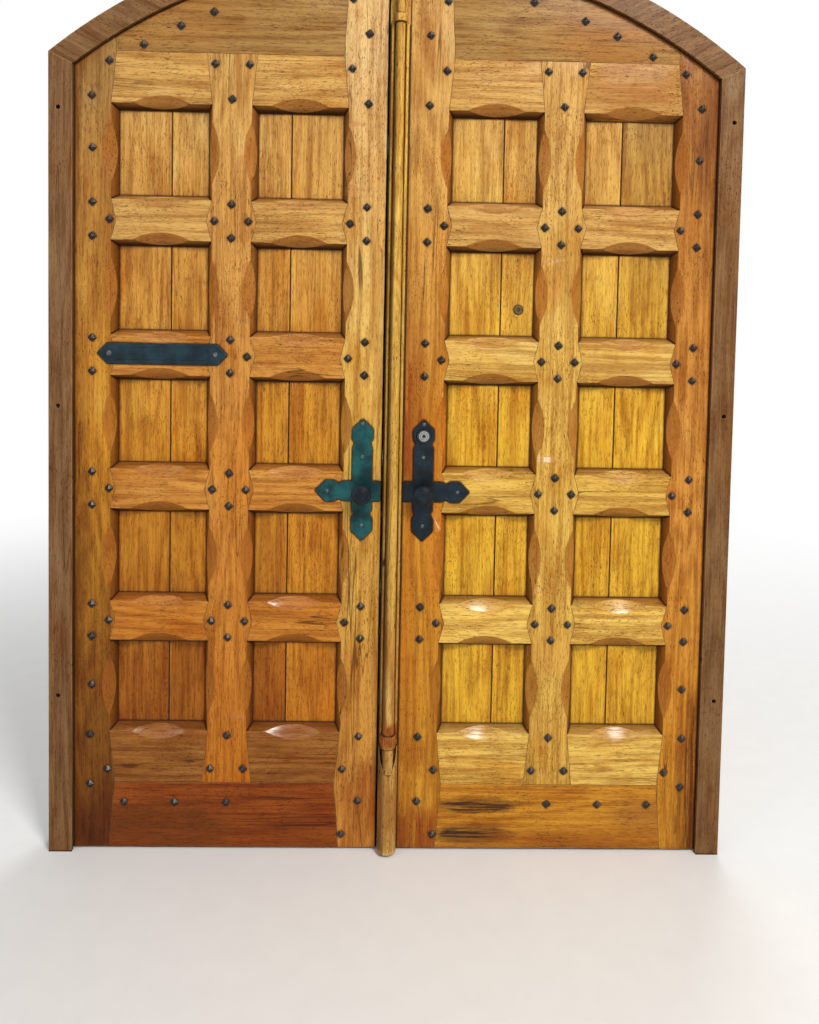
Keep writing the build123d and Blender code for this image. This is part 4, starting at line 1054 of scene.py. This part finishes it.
@dataclass
class Nails:
    """Pyramid-headed nails, each forged by hand."""

    side: str
    finish: bpy.types.Material
    repeater: Repeater
    seed: int
    edge: float = 0.0012
    twist: float = 0.13
    smallest: float = 0.93
    dent: float = 0.0012

    def _head(self, half: float, rise: float) -> bpy.types.Object:
        """One head: a square set on its corner, a low edge and four hammered faces.

        Args:
            half: from the middle to a corner.
            rise: how far it stands out.

        Returns:
            The head at the origin, pointing at the viewer.
        """
        shape = bmesh.new()
        levels = ((1.0, 0.0), (1.0, self.edge), (0.58, rise * 0.62), (0.13, rise * 0.985))
        rings = []
        for share, out in levels:
            ring = []
            for step in range(8):
                turn = math.radians(step * 45)
                reach = half * share * (1.0 if step % 2 == 0 else 0.74)
                ring.append(shape.verts.new((reach * math.sin(turn), -out, reach * math.cos(turn))))
            rings.append(ring)
        for low, high in zip(rings, rings[1:]):
            for step in range(8):
                after = (step + 1) % 8
                shape.faces.new((low[step], low[after], high[after], high[step]))
        shape.faces.new(rings[-1])
        shape.faces.new(list(reversed(rings[0])))
        bmesh.ops.recalc_face_normals(shape, faces=shape.faces)
        mesh = bpy.data.meshes.new(f"{self.side}_head")
        shape.to_mesh(mesh)
        shape.free()
        return new_piece(f"{self.side}_head", mesh)

    def build(self) -> bpy.types.Object:
        """Sets a head on every nail of the leaf.

        Returns:
            The heads, as one piece.
        """
        places = lumps_of(f"{self.side}_nails")
        low, high = places[0]
        head = self._head((high.x - low.x) / 2, high.y - low.y)
        points = [Vector(((a.x + b.x) / 2, b.y, (a.z + b.z) / 2)) for a, b in places]
        name = f"{self.side}_nail_heads"
        piece = self.repeater.spread(
            name, points, head, self.finish, self.twist, self.smallest, self.dent, self.seed
        )
        bpy.data.objects.remove(head)
        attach(piece, f"{self.side}_leaf")
        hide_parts(f"{self.side}_nails")
        return piece


@dataclass
class Screws:
    """Domed screws with a slot, on the cross plates."""

    node: str
    body: str
    finish: bpy.types.Material
    repeater: Repeater
    seed: int
    slot_width: float = 0.0016
    slot_depth: float = 0.0012
    rounds: int = 5
    spokes: int = 20

    def _screw(self, radius: float, rise: float, behind: bool) -> bpy.types.Object:
        """One head with its slot.

        Args:
            radius: of the head.
            rise: how far it stands out.
            behind: True where it faces the inside of the door.

        Returns:
            The head at the origin, pointing at the viewer.
        """
        shape = bmesh.new()
        rings = []
        for level in range(self.rounds):
            angle = math.radians(90) * level / self.rounds
            reach, out = radius * math.cos(angle), rise * math.sin(angle)
            rings.append(
                [
                    shape.verts.new((reach * math.sin(t), -out, reach * math.cos(t)))
                    for t in (math.tau * k / self.spokes for k in range(self.spokes))
                ]
            )
        tip = shape.verts.new((0.0, -rise, 0.0))
        for low, high in zip(rings, rings[1:]):
            for k in range(self.spokes):
                after = (k + 1) % self.spokes
                shape.faces.new((low[k], low[after], high[after], high[k]))
        for k in range(self.spokes):
            shape.faces.new((rings[-1][k], rings[-1][(k + 1) % self.spokes], tip))
        shape.faces.new(list(reversed(rings[0])))
        for side in (-1, 1):
            edge = Vector((side * self.slot_width / 2, 0.0, 0.0))
            bmesh.ops.bisect_plane(
                shape, geom=[*shape.verts, *shape.edges, *shape.faces], plane_co=edge, plane_no=(1.0, 0.0, 0.0)
            )
        floor = -(rise - min(self.slot_depth, rise * 0.45))
        inner = [
            f for f in shape.faces
            if abs(f.calc_center_median().x) < self.slot_width / 2 and f.calc_center_median().y < floor
        ]
        sunk = bmesh.ops.extrude_face_region(shape, geom=inner)["geom"]
        bmesh.ops.delete(shape, geom=inner, context="FACES")
        for vertex in (g for g in sunk if isinstance(g, bmesh.types.BMVert)):
            vertex.co.y = floor
        bmesh.ops.recalc_face_normals(shape, faces=shape.faces)
        if behind:
            half_turn = Matrix.Rotation(math.pi, 3, "Z")
            bmesh.ops.rotate(shape, verts=shape.verts, cent=(0.0, 0.0, 0.0), matrix=half_turn)
        mesh = bpy.data.meshes.new(f"{self.node}_head")
        shape.to_mesh(mesh)
        shape.free()
        return new_piece(f"{self.node}_head", mesh)

    def build(self) -> bpy.types.Object:
        """Sets a screw head on every fixing of the node.

        Returns:
            The screws, as one piece.
        """
        groups: dict[tuple[float, float, bool], list[Vector]] = {}
        for low, high in lumps_of(self.node):
            behind = low.y + high.y > 0
            size = (round((high.x - low.x) / 2, 4), round(high.y - low.y, 4), behind)
            foot = low.y if behind else high.y
            groups.setdefault(size, []).append(Vector(((low.x + high.x) / 2, foot, (low.z + high.z) / 2)))
        joined = bmesh.new()
        for (radius, rise, behind), points in groups.items():
            head = self._screw(radius, rise, behind)
            some = self.repeater.spread(
                f"{self.node}_some", points, head, self.finish, math.pi, 0.97, 0.0, self.seed
            )
            joined.from_mesh(some.data)
            bpy.data.objects.remove(head)
            bpy.data.objects.remove(some)
        mesh = bpy.data.meshes.new(f"{self.node}_heads")
        joined.to_mesh(mesh)
        joined.free()
        mesh.materials.append(self.finish)
        piece = new_piece(f"{self.node}_heads", mesh)
        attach(piece, self.body)
        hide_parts(self.node)
        return piece


@dataclass
class TimberFrame:
    """Jambs, arched head, pegs and the ironwork on the back of them."""

    finishes: Finishes
    iron: bpy.types.Material

    def dress(self) -> int:
        """Gives the frame its oak and iron.

        Returns:
            How many pieces were dressed.
        """
        cuts = (("jamb_left", 0.0, 41.0), ("jamb_right", 0.0, 47.0), ("head_left", -62.0, 53.0), ("head_right", 62.0, 59.0))
        for node, lean, seed in cuts:
            oak = Oak(f"{node}_oak", Grain.UPRIGHT, seed, (Tone.OILED,) * 3, side_tint_and_shade=0.0, lean=lean)
            dress(node, self.finishes.get(oak))
        pegs = Oak("frame_peg_oak", Grain.LEVEL, 63.0, (Tone.BROWN,) * 3, side_tint_and_shade=0.0)
        dress("frame_pegs", self.finishes.get(pegs))
        for node in ("pintles", "top_bolt_keep"):
            dress(node, self.iron)
        return len(cuts) + 3


@dataclass
class CrossPlate:
    """A plate with three spear-headed arms and a short square one, filed off round its front."""

    side: str
    finish: bpy.types.Material
    bores: tuple[tuple[float, float], ...]
    lock_x: float = 0.082
    lock_z: float = 0.992
    half: float = 0.028
    strip: float = 0.0262
    notch: float = 0.0212
    neck: float = 0.011
    point: float = 0.027
    filed: float = 0.0012
    top: tuple[float, float] = (0.194, 0.130)
    across: tuple[float, float] = (0.125, 0.063)
    foot: tuple[float, float] = (0.134, 0.063)

    def _arm(self, reach: float, neck: float) -> list[tuple[float, float]]:
        """One side of an arm, from the middle of the plate to its point.

        Args:
            reach: how far the point is out.
            neck: where the spear head starts.

        Returns:
            Pairs of half width and place along the arm.
        """
        return [
            (self.strip, self.strip),
            (self.strip, neck - self.neck),
            (self.notch, neck - self.neck * 0.35),
            (self.notch + 0.001, neck + self.neck * 0.25),
            (self.half, neck + self.neck),
            (self.half, reach - self.point),
            (0.0, reach),
        ]

    def _outline(self, inward: float) -> list[tuple[float, float]]:
        """The plate's edge, seen from the front, for the right leaf.

        Args:
            inward: the length of the square arm.

        Returns:
            Corners in order.
        """
        top, across, foot = self._arm(*self.top), self._arm(*self.across), self._arm(*self.foot)
        corners = [(-wide, up) for wide, up in top[:-1]]
        corners += [(wide, up) for wide, up in reversed(top)]
        corners += [(out, wide) for wide, out in across[1:]]
        corners += [(out, -wide) for wide, out in reversed(across[:-1])]
        corners += [(wide, -down) for wide, down in foot[1:]]
        corners += [(-wide, -down) for wide, down in reversed(foot[:-1])]
        return corners + [(-inward, -self.strip), (-inward, self.strip)]

    def build(self) -> bpy.types.Object:
        """Cuts the plate from sheet, with its bores.

        Returns:
            The plate.
        """
        node = f"{self.side}_cross_plate"
        low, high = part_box(node)
        hand = 1.0 if self.side == "right" else -1.0
        inward = self.lock_x - (low.x if hand > 0 else -high.x)
        sheet = bpy.data.curves.new(node, "CURVE")
        sheet.dimensions = "2D"
        sheet.fill_mode = "BOTH"
        sheet.bevel_depth = self.filed
        sheet.bevel_resolution = 1
        sheet.offset = -self.filed
        sheet.extrude = (high.y - low.y) / 2 - self.filed
        rounds = [
            [(radius * math.cos(math.tau * k / 28), rise + radius * math.sin(math.tau * k / 28)) for k in range(28)]
            for rise, radius in self.bores
        ]
        for loop in (self._outline(inward), *rounds):
            spline = sheet.splines.new("POLY")
            spline.points.add(len(loop) - 1)
            for point, (x, z) in zip(spline.points, loop):
                point.co = (x * hand, z, 0.0, 1.0)
            spline.use_cyclic_u = True
        blank = bpy.data.objects.new(node, sheet)
        bpy.context.scene.collection.objects.link(blank)
        depsgraph = bpy.context.evaluated_depsgraph_get()
        mesh = bpy.data.meshes.new_from_object(blank.evaluated_get(depsgraph), depsgraph=depsgraph)
        bpy.data.objects.remove(blank)
        stand = Matrix.Rotation(math.pi / 2, 4, "X")
        mesh.transform(Matrix.Translation((self.lock_x * hand, (low.y + high.y) / 2, self.lock_z)) @ stand)
        merged = bmesh.new()
        merged.from_mesh(mesh)
        bmesh.ops.remove_doubles(merged, verts=merged.verts, dist=1e-5)
        bmesh.ops.recalc_face_normals(merged, faces=merged.faces)
        merged.to_mesh(mesh)
        merged.free()
        mesh.materials.clear()
        mesh.materials.append(self.finish)
        piece = new_piece(f"{self.side}_lock_plate", mesh)
        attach(piece, f"{self.side}_leaf")
        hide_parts(node)
        return piece


@dataclass
class Ironwork:
    """Plates, knobs, locks, straps and bolts."""

    finishes: Finishes
    forged: bpy.types.Material

    def dress(self) -> int:
        """Gives each metal node its finish.

        Returns:
            How many pieces were dressed.
        """
        black = PaintedIron("black_paint", (0.006, 0.009, 0.012), (0.012, 0.022, 0.032))
        teal = PaintedIron("teal_paint", (0.006, 0.026, 0.030), (0.012, 0.085, 0.085))
        navy = PaintedIron("navy_paint", (0.006, 0.013, 0.020), (0.012, 0.032, 0.044))
        low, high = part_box("key_plug")
        axis = ((low.x + high.x) / 2, (low.z + high.z) / 2)
        steel = TurnedMetal("turned_steel", (0.34, 0.33, 0.31), (0.12, 0.11, 0.10), axis)
        lock_rings = ((0.0, 0.0052, (0.05, 0.046, 0.042)), (0.0094, 0.0104, (0.03, 0.028, 0.026)), (0.0138, 0.0300, (0.016, 0.018, 0.022)))
        cylinder = TurnedMetal("cylinder_steel", (0.46, 0.45, 0.43), (0.22, 0.21, 0.20), axis, 0.24, lock_rings)
        low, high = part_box("viewer_body")
        sight = ((low.x + high.x) / 2, (low.z + high.z) / 2)
        bronze = TurnedMetal("dull_bronze", (0.13, 0.09, 0.045), (0.05, 0.035, 0.02), sight, 0.42)
        finishes = {
            "letter_plate": navy,
            "letter_flap": navy,
            "knob_outer": black,
            "dummy_knob": black,
            "knob_inner": black,
            "lock_case": black,
            "lock_keep": black,
            "cylinder_body": cylinder,
            "key_plug": cylinder,
            "latch_bolt": steel,
            "dead_bolt": steel,
            "viewer_body": bronze,
            "viewer_lens": LensGlass("lens_glass_domed"),
        }
        for node, finish in finishes.items():
            dress(node, self.finishes.get(finish))
        CrossPlate("right", self.finishes.get(black), ((0.0, 0.012), (0.151, 0.0087))).build()
        CrossPlate("left", self.finishes.get(teal), ((0.0, 0.012),)).build()
        for node in ("right_straps", "left_straps", "top_bolt_plate", "top_bolt"):
            dress(node, self.forged)
        return len(finishes) + 6


@dataclass
class Column:
    """The turned and moulded half-round over the meeting joint."""

    finishes: Finishes

    def dress(self) -> int:
        """Gives the column its oak.

        Returns:
            How many pieces were dressed.
        """
        neck = Patch(0.0, 0.335, 0.06, 0.045, 0.9, Tone.RUSSET)
        stained = Patch(0.0, 0.12, 0.06, 0.10, 0.6, Tone.BROWN)
        foot = Patch(0.0, 0.006, 0.06, 0.016, 0.9, Tone.PALE)
        # The column's left flank gets painted shade.
        oak = Oak(
            "column_oak", Grain.UPRIGHT, 31.0, (Tone.HONEY, Tone.GOLD, Tone.GOLD), side_tint_and_shade=0.0,
            worn=1.0, flecks=1.6, patches=(neck, stained, foot), left_side_shade=0.85,
        )
        dress("column", self.finishes.get(oak))
        return 1


@dataclass
class Studio:
    """Floor, lights and the camera at the photograph's angle."""

    frame_wide: float = 819.0
    frame_high: float = 1024.0
    focal: float = 850.0
    centre_row: float = 350.0
    eye: Triple = (-0.010, -2.297, 1.477)
    pitch: float = 0.04576
    yaw: float = 0.02165
    roll: float = 0.01875
    sensor: float = 36.0

    def floor(self) -> None:
        """A plain pale floor."""
        mesh = bpy.data.meshes.new("floor")
        reach = 30.0
        mesh.from_pydata([(-reach, -reach, 0), (reach, -reach, 0), (reach, reach, 0), (-reach, reach, 0)], [], [(0, 1, 2, 3)])
        ground = new_piece("floor", mesh)
        ink = Recipe("pale_floor")
        place = ink.place()
        grain = ink.noise(place, scale=14.0, detail=3.0)
        colour = ink.mix(grain, (0.78, 0.775, 0.76), (0.83, 0.825, 0.81))
        laid = ink.add("ShaderNodeBsdfPrincipled", values={"Base Color": colour, "Roughness": 0.85})
        bare = ink.add("ShaderNodeEmission", values={"Color": (1.0, 1.0, 1.0), "Strength": 1.0})
        away = (place.dot(place) ** 0.5).step(1.3, 4.6)
        seen = ink.add("ShaderNodeLightPath")
        share = away * seen.most(seen.twin(3)).most(seen.twin(6))
        both = ink.add("ShaderNodeMixShader", values={0: share, 1: laid, 2: bare})
        ink.add("ShaderNodeOutputMaterial", values={"Surface": both})
        mesh.materials.append(ink.material)

    def world(self) -> None:
        """Even light, with a white background for the camera and for reflections."""
        world = bpy.data.worlds.new("plain_light")
        bpy.context.scene.world = world
        world.use_nodes = True
        tree = world.node_tree
        tree.nodes.clear()
        path = tree.nodes.new("ShaderNodeLightPath")
        seen = tree.nodes.new("ShaderNodeMath")
        seen.operation = "MAXIMUM"
        tree.links.new(path.outputs["Is Camera Ray"], seen.inputs[0])
        tree.links.new(path.outputs["Is Glossy Ray"], seen.inputs[1])
        glass = tree.nodes.new("ShaderNodeMath")
        glass.operation = "MAXIMUM"
        tree.links.new(seen.outputs[0], glass.inputs[0])
        tree.links.new(path.outputs["Is Transmission Ray"], glass.inputs[1])
        soft = tree.nodes.new("ShaderNodeBackground")
        soft.inputs["Color"].default_value = (0.93, 0.96, 1.0, 1.0)
        soft.inputs["Strength"].default_value = 0.42
        white = tree.nodes.new("ShaderNodeBackground")
        white.inputs["Color"].default_value = (1.0, 1.0, 1.0, 1.0)
        both = tree.nodes.new("ShaderNodeMixShader")
        tree.links.new(glass.outputs[0], both.inputs[0])
        tree.links.new(soft.outputs[0], both.inputs[1])
        tree.links.new(white.outputs[0], both.inputs[2])
        out = tree.nodes.new("ShaderNodeOutputWorld")
        tree.links.new(both.outputs[0], out.inputs[0])

    def lamp(self, name: str, at: Triple, aim: Triple, size: float, power: float, colour: Colour) -> None:
        """Adds one soft lamp.

        Args:
            name: the lamp's name.
            at: where it stands.
            aim: the point that it is turned to.
            size: the side of its square.
            power: in watts.
            colour: of its light.
        """
        light = bpy.data.lights.new(name, "AREA")
        light.size = size
        light.energy = power
        light.color = colour
        lamp = bpy.data.objects.new(name, light)
        lamp.location = at
        lamp.rotation_euler = (Vector(aim) - Vector(at)).to_track_quat("-Z", "Y").to_euler()
        bpy.context.scene.collection.objects.link(lamp)

    def camera(self) -> None:
        """The camera, from its solved place and turn."""
        ahead = Vector((math.sin(self.yaw), math.cos(self.yaw), 0.0))
        right = Vector((math.cos(self.yaw), -math.sin(self.yaw), 0.0))
        up = Vector((0.0, 0.0, 1.0))
        sight = ahead * math.cos(self.pitch) - up * math.sin(self.pitch)
        top = ahead * math.sin(self.pitch) + up * math.cos(self.pitch)
        level = right * math.cos(self.roll) + top * math.sin(self.roll)
        top = top * math.cos(self.roll) - right * math.sin(self.roll)
        data = bpy.data.cameras.new("photo_view")
        data.sensor_fit = "HORIZONTAL"
        data.sensor_width = self.sensor
        data.lens = self.sensor * self.focal / self.frame_wide
        data.shift_y = -(self.frame_high / 2 - self.centre_row) / self.frame_wide
        data.clip_start = 0.02
        data.clip_end = 100.0
        camera = bpy.data.objects.new("photo_view", data)
        turn = Matrix((level, top, -sight)).transposed().to_4x4()
        camera.matrix_world = Matrix.Translation(self.eye) @ turn
        bpy.context.scene.collection.objects.link(camera)
        bpy.context.scene.camera = camera

    def build(self) -> None:
        """Sets up the whole studio."""
        bpy.context.scene.view_settings.view_transform = "Standard"
        self.floor()
        self.world()
        self.lamp("key_lamp", (1.7, -3.6, 4.2), (0.0, 0.0, 1.1), 1.2, 212.0, (1.0, 0.97, 0.92))
        self.lamp("fill_lamp", (-3.2, -3.6, 2.2), (0.0, 0.0, 1.0), 3.0, 45.0, (0.92, 0.96, 1.0))
        self.lamp("back_lamp", (1.5, 4.0, 3.6), (0.0, 0.0, 1.2), 3.0, 110.0, (1.0, 0.99, 0.97))
        self.camera()


def main() -> None:
    """Builds and dresses every piece in order, and reports each."""
    logging.basicConfig(level=logging.INFO, format="%(name)s: %(message)s")
    finishes = Finishes()
    repeater = Repeater()
    nail_iron = finishes.get(ForgedIron("nail_black", (0.018, 0.014, 0.012), (0.46, 0.42, 0.38)))
    strap_iron = finishes.get(ForgedIron("strap_black", (0.030, 0.029, 0.031), (0.14, 0.13, 0.13)))

    right_tones = {
        "meeting_stile": (Tone.AMBER, Tone.AMBER, Tone.HONEY),
        "outer_stile": (Tone.AMBER, Tone.COPPER, Tone.BROWN),
        "muntin": (Tone.GOLD, Tone.GOLD, Tone.HONEY),
        "bottom_rail": (Tone.AMBER, Tone.AMBER, Tone.AMBER),
        "lower_rail": (Tone.STRAW, Tone.STRAW, Tone.STRAW),
        "rail_1": (Tone.STRAW, Tone.STRAW, Tone.GOLD),
        "rail_2": (Tone.GOLD, Tone.GOLD, Tone.GOLD),
        "rail_3": (Tone.GOLD, Tone.GOLD, Tone.PALE),
        "rail_4": (Tone.HONEY, Tone.HONEY, Tone.HONEY),
        "upper_rail": (Tone.HONEY, Tone.HONEY, Tone.HONEY),
        "arch_rail": (Tone.TAN, Tone.TAN, Tone.TAN),
        "board_inner": (Tone.YELLOW, Tone.YELLOW, Tone.HONEY),
        "board_middle": (Tone.YELLOW, Tone.YELLOW, Tone.HONEY),
        "board_outer": (Tone.YELLOW, Tone.YELLOW, Tone.TAN),
    }
    # The left leaf is darker towards its foot and its outer stile, partly as painted shade.
    left_tones = {
        "meeting_stile": (Tone.COPPER, Tone.GOLD, Tone.PALE),
        "outer_stile": (Tone.UMBER, Tone.AMBER, Tone.TAN),
        "muntin": (Tone.ORANGE, Tone.COPPER, Tone.HONEY),
        "bottom_rail": (Tone.RUSSET, Tone.RUSSET, Tone.RUSSET),
        "lower_rail": (Tone.BROWN, Tone.BROWN, Tone.BROWN),
        "rail_1": (Tone.COPPER, Tone.ORANGE, Tone.ORANGE),
        "rail_2": (Tone.COPPER, Tone.COPPER, Tone.COPPER),
        "rail_3": (Tone.COPPER, Tone.COPPER, Tone.HONEY),
        "rail_4": (Tone.HONEY, Tone.HONEY, Tone.HONEY),
        "upper_rail": (Tone.HONEY, Tone.HONEY, Tone.HONEY),
        "arch_rail": (Tone.TAN, Tone.TAN, Tone.TAN),
        "board_inner": (Tone.ORANGE, Tone.AMBER, Tone.HONEY),
        "board_middle": (Tone.RUSSET, Tone.AMBER, Tone.HONEY),
        "board_outer": (Tone.RUSSET, Tone.AMBER, Tone.HONEY),
    }
    right = Lattice(
        "right", finishes, 3.0, right_tones,
        patches={
            "meeting_stile": (
                Patch(0.050, 1.16, 0.050, 0.34, 0.85), Patch(0.12, 0.98, 0.045, 0.40, 0.8, Tone.ORANGE),
                Patch(0.045, 0.60, 0.022, 0.50, 0.7, Tone.ORANGE),
                Patch(0.08, 0.03, 0.16, 0.11, 0.9), Patch(0.07, 0.27, 0.06, 0.06, 0.6),
                Patch(0.10, 1.62, 0.10, 0.12, 0.5, Tone.COPPER),
            ),
            "bottom_rail": (
                Patch(0.25, 0.125, 0.15, 0.028, 1.0, Tone.CHAR), Patch(0.24, 0.045, 0.14, 0.034, 1.0, Tone.CHAR),
                Patch(0.48, 0.03, 0.34, 0.040, 0.7), Patch(0.70, 0.10, 0.12, 0.07, 0.6, Tone.BROWN),
                Patch(0.10, 0.10, 0.05, 0.12, 0.6),
            ),
            "outer_stile": (Patch(0.85, 0.14, 0.07, 0.36, 0.85, Tone.UMBER), Patch(0.84, 1.95, 0.06, 0.30, 0.8, Tone.UMBER)),
            "upper_rail": (Patch(0.64, 2.06, 0.20, 0.14, 1.0, Tone.BROWN),),
            "arch_rail": (Patch(0.60, 2.20, 0.25, 0.10, 0.7, Tone.BROWN),),
            "muntin": (Patch(0.43, 0.55, 0.10, 0.10, 0.4, Tone.COPPER), Patch(0.40, 1.55, 0.06, 0.10, 0.4, Tone.ORANGE)),
            "rail_3": (Patch(0.60, 1.33, 0.15, 0.020, 0.4, Tone.BROWN),),
            "rail_2": (Patch(0.66, 0.95, 0.08, 0.022, 0.45, Tone.COPPER),),
        },
        pocked={"muntin": (Patch(0.43, 1.17, 0.035, 0.05, 1.0),)},
    )
    left = Lattice(
        "left", finishes, 19.0, left_tones,
        patches={
            "outer_stile": (Patch(-0.855, 1.9, 0.03, 0.3, 0.6, Tone.UMBER), Patch(-0.85, 0.9, 0.05, 0.60, 0.7, Tone.UMBER)),
            "meeting_stile": (Patch(-0.06, 0.15, 0.08, 0.14, 0.7), Patch(-0.05, 1.6, 0.02, 0.5, 0.4, Tone.COPPER)),
            "muntin": (Patch(-0.43, 1.05, 0.08, 0.20, 0.5, Tone.ORANGE),),
            "arch_rail": (Patch(-0.60, 2.22, 0.25, 0.10, 0.5, Tone.BROWN),),
            "bottom_rail": (Patch(-0.62, 0.06, 0.25, 0.10, 0.7, Tone.UMBER),),
        },
    )
    LOG.info("right leaf oak: %d pieces", right.build())
    LOG.info("left leaf oak: %d pieces", left.build())
    seals = (
        MeetingSeal(finishes, "right", -0.0261, -0.0284, 0.010, 0.024),
        MeetingSeal(finishes, "left", -0.0309, -0.0280, -0.025, -0.012),
    )
    for seal in seals:
        LOG.info("%s: in the meeting joint", seal.build().name)
    LOG.info("frame: %d pieces", TimberFrame(finishes, strap_iron).dress())
    LOG.info("ironwork: %d pieces", Ironwork(finishes, strap_iron).dress())
    LOG.info("column: %d piece", Column(finishes).dress())
    for number, side in enumerate(("right", "left")):
        heads = Nails(side, nail_iron, repeater, 5 + number).build()
        LOG.info("%s: %d faces", heads.name, len(heads.data.polygons))
    # Grey screw heads with a bright highlight colour, as painted highlights on the domes.
    screw_iron = finishes.get(ForgedIron("screw_grey_highlit", (0.10, 0.10, 0.10), (0.55, 0.54, 0.52)))
    for node, body in (("right_plate_screws", "right_leaf"), ("left_plate_bolts", "left_leaf")):
        heads = Screws(node, body, screw_iron, repeater, 11).build()
        LOG.info("%s: %d faces", heads.name, len(heads.data.polygons))
    Studio().build()


if __name__ == "__main__":
    main()
